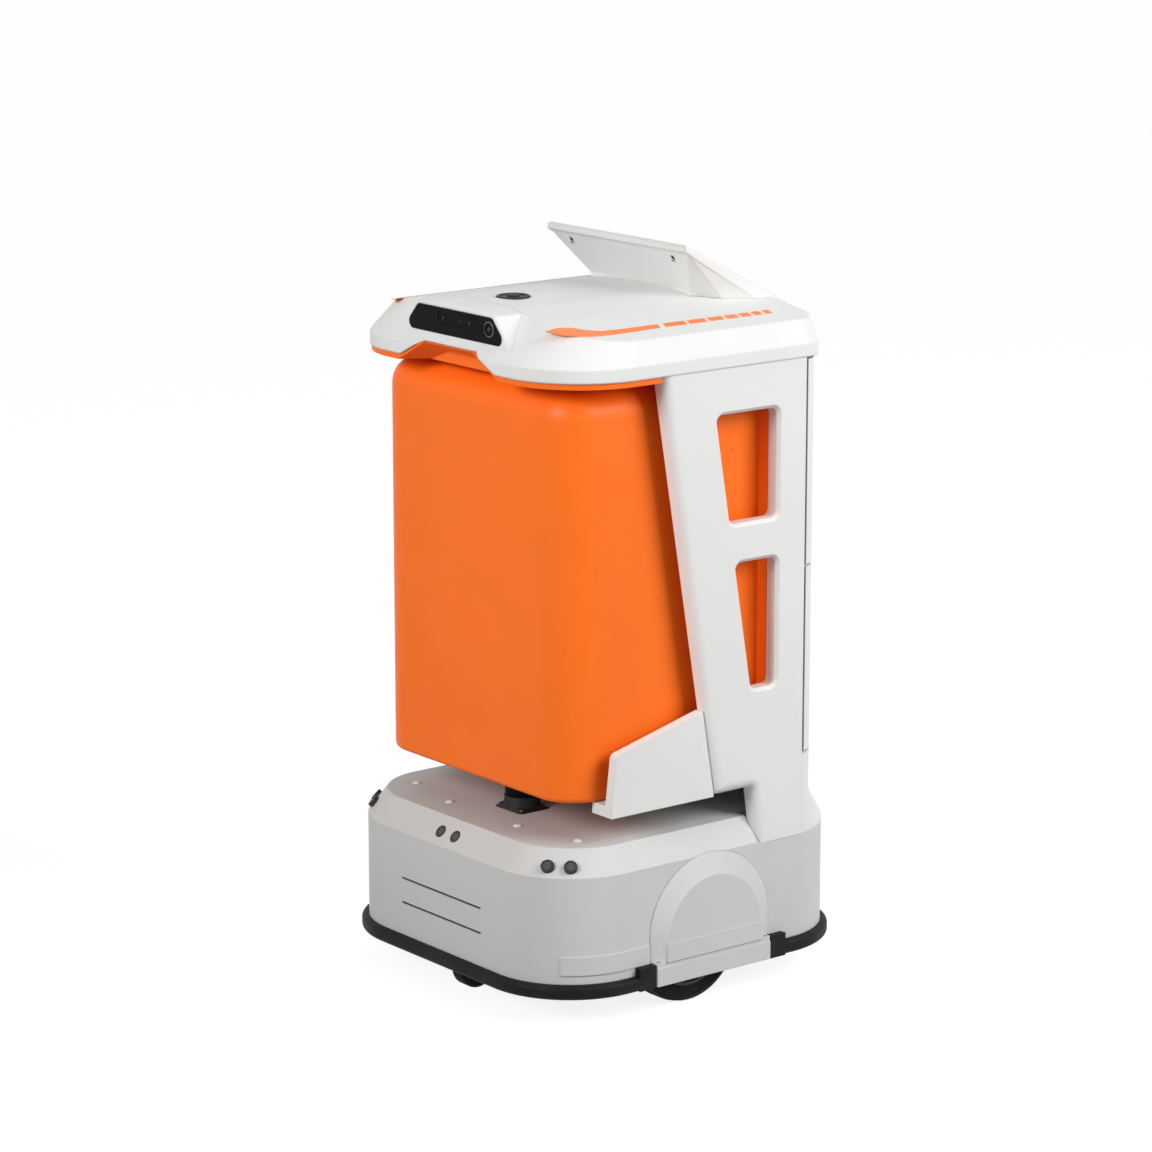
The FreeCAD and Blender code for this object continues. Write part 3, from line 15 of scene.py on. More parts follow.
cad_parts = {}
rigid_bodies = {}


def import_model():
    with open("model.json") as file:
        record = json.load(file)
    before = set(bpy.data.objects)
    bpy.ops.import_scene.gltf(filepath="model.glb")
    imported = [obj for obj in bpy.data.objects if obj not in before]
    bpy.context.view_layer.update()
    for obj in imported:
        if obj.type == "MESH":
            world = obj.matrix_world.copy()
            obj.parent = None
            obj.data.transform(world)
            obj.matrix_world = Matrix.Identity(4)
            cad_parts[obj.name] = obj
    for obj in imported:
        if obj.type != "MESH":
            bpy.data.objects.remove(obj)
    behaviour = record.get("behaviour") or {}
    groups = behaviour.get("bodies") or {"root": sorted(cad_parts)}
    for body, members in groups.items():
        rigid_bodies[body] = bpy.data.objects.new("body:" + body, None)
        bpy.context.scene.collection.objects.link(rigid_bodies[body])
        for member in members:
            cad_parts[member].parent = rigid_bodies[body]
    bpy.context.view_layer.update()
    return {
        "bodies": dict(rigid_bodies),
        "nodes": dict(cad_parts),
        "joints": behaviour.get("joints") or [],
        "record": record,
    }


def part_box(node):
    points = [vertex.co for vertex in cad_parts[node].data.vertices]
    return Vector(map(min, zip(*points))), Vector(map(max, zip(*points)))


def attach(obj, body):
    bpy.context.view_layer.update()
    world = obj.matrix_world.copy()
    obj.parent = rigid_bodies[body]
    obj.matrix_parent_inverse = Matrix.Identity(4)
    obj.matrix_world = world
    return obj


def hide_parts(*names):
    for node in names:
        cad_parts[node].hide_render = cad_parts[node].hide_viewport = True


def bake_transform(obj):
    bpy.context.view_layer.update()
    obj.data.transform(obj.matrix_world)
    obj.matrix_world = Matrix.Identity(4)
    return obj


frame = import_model()
nodes = frame["nodes"]

# %% [markdown]
# ## Camera
# The robot is looked at from in front and well round to its +X side, a little above its middle, through a
# long lens, so that its uprights stay nearly parallel. A camera is placed from four plain facts: the point
# it looks at, how far it stands off, and its azimuth and elevation. That is easier to read and change than
# a position and angles.

# %% Camera
VIEW_TARGET = Vector((0.0, -0.0311, 0.5336))
VIEW_DISTANCE = 5.390
VIEW_AZIMUTH = math.radians(51.807)
VIEW_ELEVATION = math.radians(12.935)


def place_camera():
    """A long-lens camera that looks at the target from the azimuth and elevation."""
    data = bpy.data.cameras.new("portrait_camera")
    data.lens = 127.1
    data.sensor_width = 36.0
    camera = bpy.data.objects.new("portrait_camera", data)
    away = Vector((math.sin(VIEW_AZIMUTH) * math.cos(VIEW_ELEVATION),
                   -math.cos(VIEW_AZIMUTH) * math.cos(VIEW_ELEVATION), math.sin(VIEW_ELEVATION)))
    camera.location = VIEW_TARGET + away * VIEW_DISTANCE
    camera.rotation_euler = away.to_track_quat("Z", "Y").to_euler()
    bpy.context.collection.objects.link(camera)
    return camera


scene = bpy.context.scene
scene.camera = place_camera()
scene.view_settings.view_transform = "Standard"
print("camera at", [round(c, 2) for c in scene.camera.location])

# %% [markdown]
# ## Studio
# A product of this kind is shown in a white tent: one big softbox high beside it and a little behind, a
# weak one with a grid in front, and white all round. Large area lamps give the long soft gradients that
# show a moulding's curves, and a pale floor keeps the contact shadow. Only rays from the camera, mirrors
# and glass see the floor and the world as white, so the white never adds light to the robot.

# %% Lamps, world and floor
def softbox(name, place, size, power, aim=0.5, spread=180):
    """A square lamp that faces a height on the robot's middle; a small spread is a softbox with a grid."""
    data = bpy.data.lights.new(name, "AREA")
    data.energy = power
    data.size = size
    data.spread = math.radians(spread)
    lamp = bpy.data.objects.new(name, data)
    lamp.location = place
    lamp.rotation_euler = (Vector(place) - Vector((0, 0, aim))).to_track_quat("Z", "Y").to_euler()
    bpy.context.collection.objects.link(lamp)


def seen_directly(tree):
    """A value that is 1 for rays from the camera, mirrors and glass, and 0 for light on the robot."""
    path = tree.nodes.new("ShaderNodeLightPath")
    total = path.outputs["Is Camera Ray"]
    for name in ("Is Glossy Ray", "Is Transmission Ray"):
        add = tree.nodes.new("ShaderNodeMath")
        add.operation = "MAXIMUM"
        tree.links.new(total, add.inputs[0])
        tree.links.new(path.outputs[name], add.inputs[1])
        total = add.outputs[0]
    return total


def white_world(fill):
    """A world that lights softly and is seen as white."""
    world = bpy.data.worlds.new("white_tent")
    world.use_nodes = True
    tree = world.node_tree
    background = tree.nodes["Background"]
    background.inputs["Color"].default_value = (1, 1, 1, 1)
    strength = tree.nodes.new("ShaderNodeMapRange")
    strength.inputs["To Min"].default_value = fill
    strength.inputs["To Max"].default_value = 1.0
    tree.links.new(seen_directly(tree), strength.inputs["Value"])
    tree.links.new(strength.outputs["Result"], background.inputs["Strength"])
    scene.world = world


def pale_floor(half):
    """A wide floor, near white to the eye, that still takes the shadow."""
    mesh = bmesh.new()
    bmesh.ops.create_grid(mesh, x_segments=1, y_segments=1, size=half)
    data = bpy.data.meshes.new("studio_floor")
    mesh.to_mesh(data)
    mesh.free()
    floor = bpy.data.objects.new("studio_floor", data)
    bpy.context.collection.objects.link(floor)
    paint = bpy.data.materials.new("studio_floor")
    paint.use_nodes = True
    tree = paint.node_tree
    shader = tree.nodes["Principled BSDF"]
    shader.inputs["Base Color"].default_value = (0.3, 0.3, 0.3, 1)
    shader.inputs["Roughness"].default_value = 0.9
    shader.inputs["Specular IOR Level"].default_value = 0.1
    shader.inputs["Emission Color"].default_value = (1, 1, 1, 1)
    glow = tree.nodes.new("ShaderNodeMath")
    glow.operation = "MULTIPLY"
    glow.inputs[1].default_value = FLOOR_GLOW
    tree.links.new(seen_directly(tree), glow.inputs[0])
    tree.links.new(glow.outputs[0], shader.inputs["Emission Strength"])
    data.materials.append(paint)


FLOOR_GLOW = 0.86
white_world(0.33)
softbox("side_softbox", (2.8, 1.3, 2.2), 2.0, 98)
softbox("front_softbox", (0.4, -3.2, 2.0), 1.2, 5.2, 0.55, 40)
pale_floor(30)
print("studio: two softboxes over a pale floor")

# %% [markdown]
# ## Moulded plastic
# The white and orange covers are injection mouldings sprayed with a soft-touch satin lacquer. Seen close,
# such a skin has a fine even grain, a faint cloudiness where the spray is thicker, and a roughness that
# wanders a little. One function builds that from noises on object coordinates: broad ones that shift the
# colour and the roughness, and a fine one that only makes the grain through a bump. A bevel node rounds
# every edge in the shading alone, by about a millimetre, or four on the head, which leaves the engineered
# mesh untouched. Every plastic uses the recipe, so they differ in colour, gloss and grain. The exception is
# the base's white, a darker copy of the same white that paints in the shade on the lower body.

# %% Plastic finish
def link(tree, start, output, end, socket):
    tree.links.new(start.outputs[output], end.inputs[socket])


def noise(tree, scale, detail=2.0):
    """A noise texture on the object's own coordinates."""
    place = tree.nodes.new("ShaderNodeTexCoord")
    made = tree.nodes.new("ShaderNodeTexNoise")
    made.inputs["Scale"].default_value = scale
    made.inputs["Detail"].default_value = detail
    link(tree, place, "Object", made, "Vector")
    return made


def remap(tree, source, output, low, high, start=0.3, end=0.7):
    """The source's values stretched between low and high."""
    made = tree.nodes.new("ShaderNodeMapRange")
    made.inputs["From Min"].default_value = start
    made.inputs["From Max"].default_value = end
    made.inputs["To Min"].default_value = low
    made.inputs["To Max"].default_value = high
    link(tree, source, output, made, "Value")
    return made


def two_tone(tree, source, output, first, second):
    """A colour between two colours, driven by a value."""
    made = tree.nodes.new("ShaderNodeMix")
    made.data_type = "RGBA"
    made.inputs["A"].default_value = (*first, 1)
    made.inputs["B"].default_value = (*second, 1)
    link(tree, source, output, made, "Factor")
    return made


def shade(colour, factor):
    return tuple(channel * factor for channel in colour)


def soft_edge(tree, radius):
    """A normal that rounds the moulding's edges by a radius, as a mould and a coat of lacquer do."""
    made = tree.nodes.new("ShaderNodeBevel")
    made.samples = 6
    made.inputs["Radius"].default_value = radius
    return made


def plastic(name, colour, roughness=0.45, cloud=0.03, grain=0.06, grain_scale=900, gloss=0.4, edge=0.0012):
    """Sprayed or grained moulding: cloudy colour, wandering roughness and a fine bump."""
    material = bpy.data.materials.new(name)
    material.use_nodes = True
    tree = material.node_tree
    shader = tree.nodes["Principled BSDF"]
    broad = noise(tree, 7, 3)
    thick = remap(tree, broad, "Fac", 0, 1)
    mix = two_tone(tree, thick, "Result", shade(colour, 1 - cloud), shade(colour, 1 + cloud))
    link(tree, mix, "Result", shader, "Base Color")
    rough = remap(tree, noise(tree, 22, 4), "Fac", roughness - 0.05, roughness + 0.05)
    link(tree, rough, "Result", shader, "Roughness")
    bump = tree.nodes.new("ShaderNodeBump")
    bump.inputs["Strength"].default_value = grain
    bump.inputs["Distance"].default_value = 0.0004
    link(tree, noise(tree, grain_scale, 2), "Fac", bump, "Height")
    link(tree, soft_edge(tree, edge), "Normal", bump, "Normal")
    link(tree, bump, "Normal", shader, "Normal")
    shader.inputs["Specular IOR Level"].default_value = gloss
    return material


WHITE = (0.77, 0.77, 0.76)
ORANGE = (0.97, 0.168, 0.010)
BLACK = (0.012, 0.012, 0.013)
finishes = {
    "white_plastic": plastic("white_plastic", WHITE, 0.5, 0.012, gloss=0.2),
    "head_white": plastic("head_white", WHITE, 0.5, 0.012, gloss=0.2, edge=0.004),
    # A darker copy of WHITE for the base: painted shade for the lower body, not a different plastic.
    "base_white_painted_shade": plastic("base_white_painted_shade", (0.60, 0.60, 0.59), 0.5, 0.015, gloss=0.2),
    "orange_plastic": plastic("orange_plastic", ORANGE, 0.46, 0.03, gloss=0.25),
    "black_plastic": plastic("black_plastic", BLACK, 0.5, 0.1, 0.25, 1400),
    "button_red": plastic("button_red", (0.55, 0.012, 0.008), 0.25, 0.04, 0.03),
}
print("plastics:", ", ".join(finishes))

# %% [markdown]
# ## Rubber
# The bumper is an extruded rubber section and the tyres are cast rubber. Rubber is almost black, greyer
# where it is dusty, and quite rough, with a grain coarser than plastic's. It is the plastic recipe with a
# coarser grain and a second, patchy tone for the dust.

# %% Rubber finish
def rubber(name, colour, dust, roughness=0.7):
    """Matt rubber with a dusty second tone."""
    material = plastic(name, colour, roughness, 0.0, 0.5, 500, 0.12)
    tree = material.node_tree
    patches = remap(tree, noise(tree, 35, 6), "Fac", 0, 1, 0.45, 0.75)
    mix = two_tone(tree, patches, "Result", colour, dust)
    link(tree, mix, "Result", tree.nodes["Principled BSDF"], "Base Color")
    return material


finishes["bumper_rubber"] = rubber("bumper_rubber", (0.008, 0.008, 0.009), (0.018, 0.018, 0.019), 0.55)
finishes["tyre_rubber"] = rubber("tyre_rubber", (0.006, 0.006, 0.006), (0.020, 0.019, 0.018), 0.75)
print("rubbers added")

# %% [markdown]
# ## Metal
# Inside are powder-coated steel plates, ground steel pins and springs, and anodised aluminium posts. Ground
# and drawn metal has fine lines along one way, made here by a noise stretched along one axis, and powder
# coat has an orange-peel skin, which is a low bump of middling scale.

# %% Metal finishes
def drawn_metal(name, colour, roughness, along):
    """Bare metal with fine drawn lines along one axis, 0, 1 or 2."""
    material = bpy.data.materials.new(name)
    material.use_nodes = True
    tree = material.node_tree
    shader = tree.nodes["Principled BSDF"]
    shader.inputs["Metallic"].default_value = 1.0
    place = tree.nodes.new("ShaderNodeTexCoord")
    stretch = tree.nodes.new("ShaderNodeMapping")
    stretch.inputs["Scale"].default_value = [12 if axis == along else 900 for axis in range(3)]
    lines = tree.nodes.new("ShaderNodeTexNoise")
    lines.inputs["Scale"].default_value = 1.0
    link(tree, place, "Object", stretch, "Vector")
    link(tree, stretch, "Vector", lines, "Vector")
    mix = two_tone(tree, lines, "Fac", shade(colour, 0.88), shade(colour, 1.08))
    link(tree, mix, "Result", shader, "Base Color")
    rough = remap(tree, lines, "Fac", roughness - 0.07, roughness + 0.07)
    link(tree, rough, "Result", shader, "Roughness")
    bump = tree.nodes.new("ShaderNodeBump")
    bump.inputs["Strength"].default_value = 0.15
    bump.inputs["Distance"].default_value = 0.0002
    link(tree, lines, "Fac", bump, "Height")
    link(tree, bump, "Normal", shader, "Normal")
    return material


finishes["steel"] = plastic("powder_coat", (0.03, 0.03, 0.032), 0.5, 0.06, 0.5, 260, 0.4)
finishes["polished_steel"] = drawn_metal("polished_steel", (0.55, 0.55, 0.56), 0.28, 2)
finishes["aluminium"] = drawn_metal("aluminium", (0.62, 0.63, 0.64), 0.38, 2)
finishes["contact_metal"] = drawn_metal("contact_metal", (0.72, 0.5, 0.2), 0.25, 0)
print("metals added")

# %% [markdown]
# ## Smoked glass
# The sensor window, the scanner's window and the display's face are dark and glossy. Infrared-clear plastic
# looks solid black to the eye, so it needs no real transparency: a black gloss with a trace of haze reads
# the same, and keeps its look in other light. The display's glass also gets a clear coat, and the sensor
# windows, which are duller, get none.

# %% Dark gloss finishes
def dark_gloss(name, colour, roughness, coat=1.0, gloss=0.2):
    """Smoked plastic or glass: black gloss under a clear coat, with a trace of haze."""
    material = plastic(name, colour, roughness, 0.15, 0.01, 300, gloss)
    shader = material.node_tree.nodes["Principled BSDF"]
    shader.inputs["Coat Weight"].default_value = coat
    shader.inputs["Coat Roughness"].default_value = 0.04
    return material


finishes["sensor_glass"] = dark_gloss("sensor_glass", (0.004, 0.004, 0.005), 0.25, 0.0, 0.05)
finishes["display_black"] = dark_gloss("display_black", (0.006, 0.006, 0.008), 0.12)
print("dark gloss added")

# %% [markdown]
# ## Finishes on the frame
# The record says which finish each part has. Each frame part keeps its mesh and only gets the matching
# material, so the shape stays exactly as engineered.

# %% Give every frame part its finish
# The base's shell and arch covers take the darker white, which paints in the shade on the lower body.
OWN_FINISH = {"base_shell": "base_white_painted_shade", "arch_cover_left": "base_white_painted_shade", "arch_cover_right": "base_white_painted_shade",
              "head_cover": "head_white", "display_housing": "head_white", "hub_left": "black_plastic",
              "hub_right": "black_plastic", "depth_camera": "sensor_glass", "front_camera": "sensor_glass"}
slots = {part["node"]: part["material_slot"] for part in frame["record"]["subparts"]}
for name, part in nodes.items():
    part.data.materials.clear()
    part.data.materials.append(finishes[OWN_FINISH.get(name, slots[name])])
print("finished", len(slots), "frame parts")

# %% [markdown]
# ## Tools for added pieces
# The fine pieces come from a few workshop moves: a profile turned on a lathe, an outline cut from sheet, a
# bar with eased edges, and a tube along a line. All but the tube add to a bmesh, so one piece can hold many
# alike, such as a row of screws. `piece` then merges doubled points, turns the faces outwards and lets it
# ride on a body.

# %% Workshop moves
MM = 0.001
X_AXIS, Y_AXIS, Z_AXIS = Vector((1, 0, 0)), Vector((0, 1, 0)), Vector((0, 0, 1))
FORWARD, UP, DOWN = (0, -1, 0), (0, 0, 1), (0, 0, -1)


def piece(name, mesh, finish, body, sharp=35):
    """Makes the mesh a piece: doubles merged, faces outwards, smooth between sharp edges, on a body."""
    bmesh.ops.remove_doubles(mesh, verts=mesh.verts, dist=1e-6)
    bmesh.ops.recalc_face_normals(mesh, faces=mesh.faces)
    if not mesh.faces:
        raise ValueError("nothing was made for " + name)
    data = bpy.data.meshes.new(name)
    mesh.to_mesh(data)
    mesh.free()
    data.polygons.foreach_set("use_smooth", [True] * len(data.polygons))
    data.set_sharp_from_angle(angle=math.radians(sharp))
    data.materials.append(finishes[finish])
    made = bpy.data.objects.new(name, data)
    bpy.context.collection.objects.link(made)
    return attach(made, body)


def facing(place, direction, roll=Z_AXIS):
    """A frame at a place in mm whose Z looks along a direction and whose Y leans towards roll."""
    z = Vector(direction).normalized()
    y = (roll - z * roll.dot(z))
    y = y.normalized() if y.length > 1e-6 else z.orthogonal().normalized()
    turn = Matrix((y.cross(z), y, z)).transposed().to_4x4()
    return Matrix.Translation(Vector(place) * MM) @ turn


def turned(mesh, frame, profile, steps=32):
    """Adds a lathe-turned form: (radius, height) points in mm spun about the frame's Z."""
    verts = [mesh.verts.new(frame @ Vector((radius * MM, 0, height * MM))) for radius, height in profile]
    edges = [mesh.edges.new(pair) for pair in zip(verts, verts[1:])]
    bmesh.ops.spin(mesh, geom=verts + edges, cent=frame.translation, axis=frame.col[2].to_3d(),
                   angle=math.tau, steps=steps, use_merge=True, dvec=(0, 0, 0))


def outline_face(mesh, frame, outline, height, round_to, segments):
    """Adds one face: an outline in mm at a height in the frame's XY plane, its corners rounded."""
    verts = [mesh.verts.new(frame @ Vector((x * MM, y * MM, height * MM))) for x, y in outline]
    face = mesh.faces.new(verts)
    if not round_to:
        return face
    made = bmesh.ops.bevel(mesh, geom=verts, offset=round_to * MM, offset_type="OFFSET", affect="VERTICES",
                           segments=segments, profile=0.5, material=-1)
    touched = [f for f in mesh.faces if any(v in f.verts for v in made["verts"])]
    return max(touched, key=lambda f: f.calc_area())


def thicken(mesh, frame, faces, thickness):
    """Pulls faces out along the frame's Z by a thickness in mm, and keeps the faces they start from."""
    raised = bmesh.ops.extrude_face_region(mesh, geom=faces, use_keep_orig=True)["geom"]
    lift = frame.col[2].to_3d() * thickness * MM
    verts = [part for part in raised if isinstance(part, bmesh.types.BMVert)]
    bmesh.ops.translate(mesh, vec=lift, verts=verts)


def cut_sheet(mesh, frame, outline, low, high, round_to=0.0):
    """Adds a flat form: an outline in mm in the frame's XY plane, from low to high, its corners rounded."""
    face = outline_face(mesh, frame, outline, low, round_to, 5)
    thicken(mesh, frame, [face], high - low)


def box_outline(half_x, half_y):
    return [(-half_x, -half_y), (half_x, -half_y), (half_x, half_y), (-half_x, half_y)]


def bar(mesh, low, high, ease=0.6, segments=2):
    """Adds a bar between two corners in mm, with eased edges."""
    low, high = Vector(low) * MM, Vector(high) * MM
    place = Matrix.Translation((low + high) / 2) @ Matrix.Diagonal((*(high - low), 1))
    made = bmesh.ops.create_cube(mesh, size=1, matrix=place)["verts"]
    edges = {edge for vert in made for edge in vert.link_edges}
    bmesh.ops.bevel(mesh, geom=list(edges), offset=ease * MM, affect="EDGES", segments=segments,
                    profile=0.5, material=-1)


def tube(name, points, radius, finish, body, cyclic=False):
    """A round cable or gasket of one radius that follows smooth points in mm."""
    line = bpy.data.curves.new(name, "CURVE")
    line.dimensions = "3D"
    line.bevel_depth = radius * MM
    line.bevel_resolution = 3
    line.use_fill_caps = True
    spline = line.splines.new("NURBS")
    spline.points.add(len(points) - 1)
    for point, place in zip(spline.points, points):
        point.co = (*(Vector(place) * MM), 1)
    spline.order_u = 3
    spline.use_endpoint_u = not cyclic
    spline.use_cyclic_u = cyclic
    draft = bpy.data.objects.new(name + "_line", line)
    mesh = bmesh.new()
    mesh.from_mesh(bpy.data.meshes.new_from_object(draft))
    bpy.data.objects.remove(draft)
    return piece(name, mesh, finish, body, 60)


def around(count, radius, start=0.0):
    """Points of a circle, as (x, y) pairs."""
    return [(radius * math.cos(start + math.tau * i / count), radius * math.sin(start + math.tau * i / count))
            for i in range(count)]


def node_box(name):
    """A node's lowest and highest corner in mm."""
    low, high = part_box(name)
    return low / MM, high / MM


def screw(mesh, frame, radius=3.0, height=1.6, drive=1.3):
    """Adds a domed screw head with a round socket."""
    turned(mesh, frame,
           [(0, height * 0.35), (drive, height * 0.35), (drive * 1.12, height * 0.98),
            (radius * 0.7, height * 0.9), (radius, height * 0.35), (radius, -0.4), (0, -0.4)], 18)


print("workshop moves ready")

# %% [markdown]
# ## Head: inlaid stripe
# The orange stripe on the head's slopes is a film inlaid in the lacquer: a hooked fin that follows the
# front corner and runs on as a long band, and seven dashes that get shorter towards the display. The slope
# is one plane, so the outline is cut flat and sheared up onto it. It stands only 0.12 mm proud, enough to
# catch a soft edge.

# %% Stripe on both slopes
finishes["stripe_film"] = plastic("stripe_film", (0.95, 0.21, 0.02), 0.4, 0.02, 0.03)
SHOULDER_X, SHOULDER_Z = 232.0, 889.0
PLATEAU_X, PLATEAU_Z = 132.0, 907.0
DASHES = 7
DASH_LENGTH, DASH_SHRINK, DASH_GAP = 35.0, 0.83, 4.8
STRIPE_SINK, STRIPE_PROUD = -0.5, 0.12
SLOPE = (PLATEAU_Z - SHOULDER_Z) / (SHOULDER_X - PLATEAU_X)
FIN = [(163, -209), (157, -184), (162, -166), (175, -155), (185, -138), (187.5, -112), (187.2, -47),
       (200.4, -52), (202.8, -116), (202, -152), (196, -178), (182, -198)]


def slope_frame(side):
    """Shears a plan drawing up onto the head's slope on one side."""
    shear = Matrix.Identity(4)
    shear[0][0] = side
    shear[2][0] = -SLOPE
    shear[2][3] = (SHOULDER_Z + SLOPE * SHOULDER_X) * MM
    return shear


def stripe(side):
    """Fin, band and dashes on one slope."""
    mesh = bmesh.new()
    frame = slope_frame(side)
    cut_sheet(mesh, frame, FIN, STRIPE_SINK, STRIPE_PROUD, 1.5)
    start, length = -43.0, DASH_LENGTH
    for _ in range(DASHES):
        lean = 4.5 * length / DASH_LENGTH
        dash = [(187, start + lean), (187, start + length + lean), (200, start + length), (200, start)]
        cut_sheet(mesh, frame, dash, STRIPE_SINK, STRIPE_PROUD, 0.8)
        start += length + DASH_GAP
        length *= DASH_SHRINK
    name = "stripe_right" if side > 0 else "stripe_left"
    return piece(name, mesh, "stripe_film", "frame")


for side in (-1, 1):
    stripe(side)
print("stripes: a fin and", DASHES, "dashes on each side")

# %% [markdown]
# ## Head: lenses behind the dark window
# The forward window holds a depth camera, which is a dark slot with two infrared eyes, a projector and a
# colour eye, and a wide colour camera with a pale ring. An eye is a small lathe-turned stack: a bevelled
# barrel, a black throat and a domed glass. One function turns it to any size and direction, so the camera
# that looks up from the roof uses it too. Domes are what make a lens read as a lens, because they catch the
# lamps.

# %% Camera eyes
finishes["lens_glass"] = dark_gloss("lens_glass", (0.003, 0.004, 0.009), 0.08, 0.3)
finishes["ring_grey"] = plastic("ring_grey", (0.22, 0.22, 0.22), 0.35, 0.02, 0.04)


def arc(radius, height, steps=6):
    """Profile of a shallow dome from its rim to its top."""
    return [(radius * math.cos(math.pi / 2 * i / steps), height * math.sin(math.pi / 2 * i / steps))
            for i in range(steps)] + [(0, height)]


def eye(name, place, direction, radius, depth=1.0, ring=None):
    """Barrel, throat and domed glass; ring is an optional finish for the barrel."""
    barrel = bmesh.new()
    turned(barrel, facing(place, direction),
           [(0, -0.4), (radius, -0.4), (radius, depth * 0.8), (radius * 0.94, depth), (radius * 0.82, depth),
            (radius * 0.62, depth * 0.25), (0, depth * 0.25)], 40)
    piece(name + "_barrel", barrel, ring or "black_plastic", "frame")
    glass = bmesh.new()
    rise = depth * 0.25
    dome = [(r, rise + h) for r, h in arc(radius * 0.6, depth * 0.55)]
    turned(glass, facing(place, direction), [(0, rise - 0.1), (radius * 0.6, rise - 0.1), *dome], 32)
    piece(name + "_glass", glass, "lens_glass", "frame")


low, high = node_box("depth_camera")
face_y, slot_z = low.y, (low.z + high.z) / 2
for index, (share, radius) in enumerate(((0.13, 3.6), (0.40, 2.2), (0.62, 3.0), (0.87, 3.6))):
    eye("depth_eye_%d" % index, (low.x + (high.x - low.x) * share, face_y, slot_z), FORWARD, radius, 0.45,
        "sensor_glass")
low, high = node_box("front_camera")
centre = (low + high) / 2
eye("front_eye", (centre.x, low.y + 1.5, centre.z), FORWARD, 6.0, 1.4, "sensor_glass")
print("colour camera %.0f mm across" % (high.x - low.x))

# %% [markdown]
# ## Head: bezels
# Round the colour camera lies a thin grey ring, and round the depth camera's slot a fine moulded lip. Both
# set the dark lenses off from the black window, and the camera on the roof has a ring of its own. The rings
# are turned, and the lip is a rounded outline whose inner part is taken out by an inset, which keeps its
# width even all round.

# %% Ring and lip
def frame_plate(mesh, frame, outline, width, low, high, round_to):
    """Adds a flat frame of an even width: a rounded outline, inset, with the middle left open."""
    face = outline_face(mesh, frame, outline, low, round_to, 6)
    rim = bmesh.ops.inset_region(mesh, faces=[face], thickness=width * MM, use_boundary=True,
                                 use_even_offset=True)["faces"]
    bmesh.ops.delete(mesh, geom=[face], context="FACES_ONLY")
    thicken(mesh, frame, rim, high - low)


ring = bmesh.new()
turned(ring, facing((centre.x, low.y + 1.0, centre.z), FORWARD),
       [(8.6, -0.3), (10.0, -0.3), (10.0, 0.35), (9.7, 0.6), (8.9, 0.6), (8.6, 0.35), (8.6, -0.3)], 48)
piece("front_camera_ring", ring, "ring_grey", "frame")
slot_low, slot_high = node_box("depth_camera")
middle = (slot_low + slot_high) / 2
lip = bmesh.new()
lip_edge = box_outline((slot_high.x - slot_low.x) / 2 + 1.4, (slot_high.z - slot_low.z) / 2 + 1.4)
frame_plate(lip, facing((middle.x, slot_low.y, middle.z), FORWARD), lip_edge, 1.0, 0.2, 0.75, 3)
piece("depth_slot_lip", lip, "sensor_glass", "frame")
low, high = node_box("top_camera")
roof_eye = (low + high) / 2
eye("roof_eye", (roof_eye.x, roof_eye.y, high.z - 3.6), UP, 8.5, 3.2)
ring = bmesh.new()
turned(ring, facing((roof_eye.x, roof_eye.y, high.z - 2.5), UP),
       [(18.8, -0.3), (21.6, -0.3), (21.6, 0.3), (21.0, 0.7), (19.4, 0.7), (18.8, 0.3), (18.8, -0.3)], 56)
piece("roof_camera_ring", ring, "black_plastic", "frame")
print("bezels: camera ring, slot lip and roof camera ring")

# %% [markdown]
# ## Display
# The display faces whoever loads the robot. Its glass has a black printed border, a slightly paler active
# area that is asleep, and a small camera above it. A soft black gasket fills the gap between glass and
# housing, as in any touch display. The tilted parts are drawn flat and placed by one frame that lies in the
# glass: its place and tilt are read from the corners of the glass itself.

# %% Touch display face
glass_low, glass_high = node_box("display_glass")
GLASS_THICK = 3
TILT = math.atan2(glass_high.z - glass_low.z - GLASS_THICK, glass_high.y - glass_low.y)
up_slope = Vector((0, -math.cos(TILT), math.sin(TILT)))
glass_normal = Vector((0, math.sin(TILT), math.cos(TILT)))
glass_half = (glass_high.x - glass_low.x) / 2
glass_length = (glass_high.y - glass_low.y - GLASS_THICK * math.sin(TILT)) / math.cos(TILT)
glass_top = Vector((0, glass_low.y + GLASS_THICK * math.sin(TILT), glass_high.z))
glass_middle = glass_top - up_slope * glass_length / 2
display_frame = facing(glass_middle, glass_normal, up_slope)

finishes["screen_asleep"] = dark_gloss("screen_asleep", (0.020, 0.022, 0.026), 0.1)
screen = bmesh.new()
cut_sheet(screen, display_frame, box_outline(glass_half - 9, glass_length / 2 - 10), -0.2, 0.1, 2)
piece("screen_area", screen, "screen_asleep", "frame")
gasket = bmesh.new()
frame_plate(gasket, display_frame, box_outline(glass_half + 0.6, glass_length / 2 + 0.6), 1.5, -0.3, 0.2, 1.5)
piece("display_gasket", gasket, "bumper_rubber", "frame")
eye("user_camera", glass_middle + up_slope * (glass_length / 2 - 5), glass_normal, 2.4, 0.3)
print("display tilted %.0f degrees" % math.degrees(TILT))
print("glass %.0f x %.0f mm" % (2 * glass_half, glass_length))

# %% [markdown]
# ## Display: microphones
# On the underside of the display are two small holes for microphones, each closed by a dark mesh a little
# way in. The mesh only needs to stop the eye, so it is two low turned buttons, one level and one tilted.

# %% Microphone meshes
mesh = bmesh.new()
for side in (-1, 1):
    turned(mesh, facing((106 * side, 45, 960), DOWN),
           [(0, -0.6), (2.3, -0.6), (2.3, 0), (1.2, 0.3), (0, 0.3)], 16)
    turned(mesh, facing((106 * side, 45, 964.1), (0, -0.83, -0.56)),
           [(0, -0.5), (2.9, -0.5), (2.9, 0.15), (0, 0.15)], 20)
piece("microphone_meshes", mesh, "black_plastic", "frame")
print("meshes in two microphone holes")

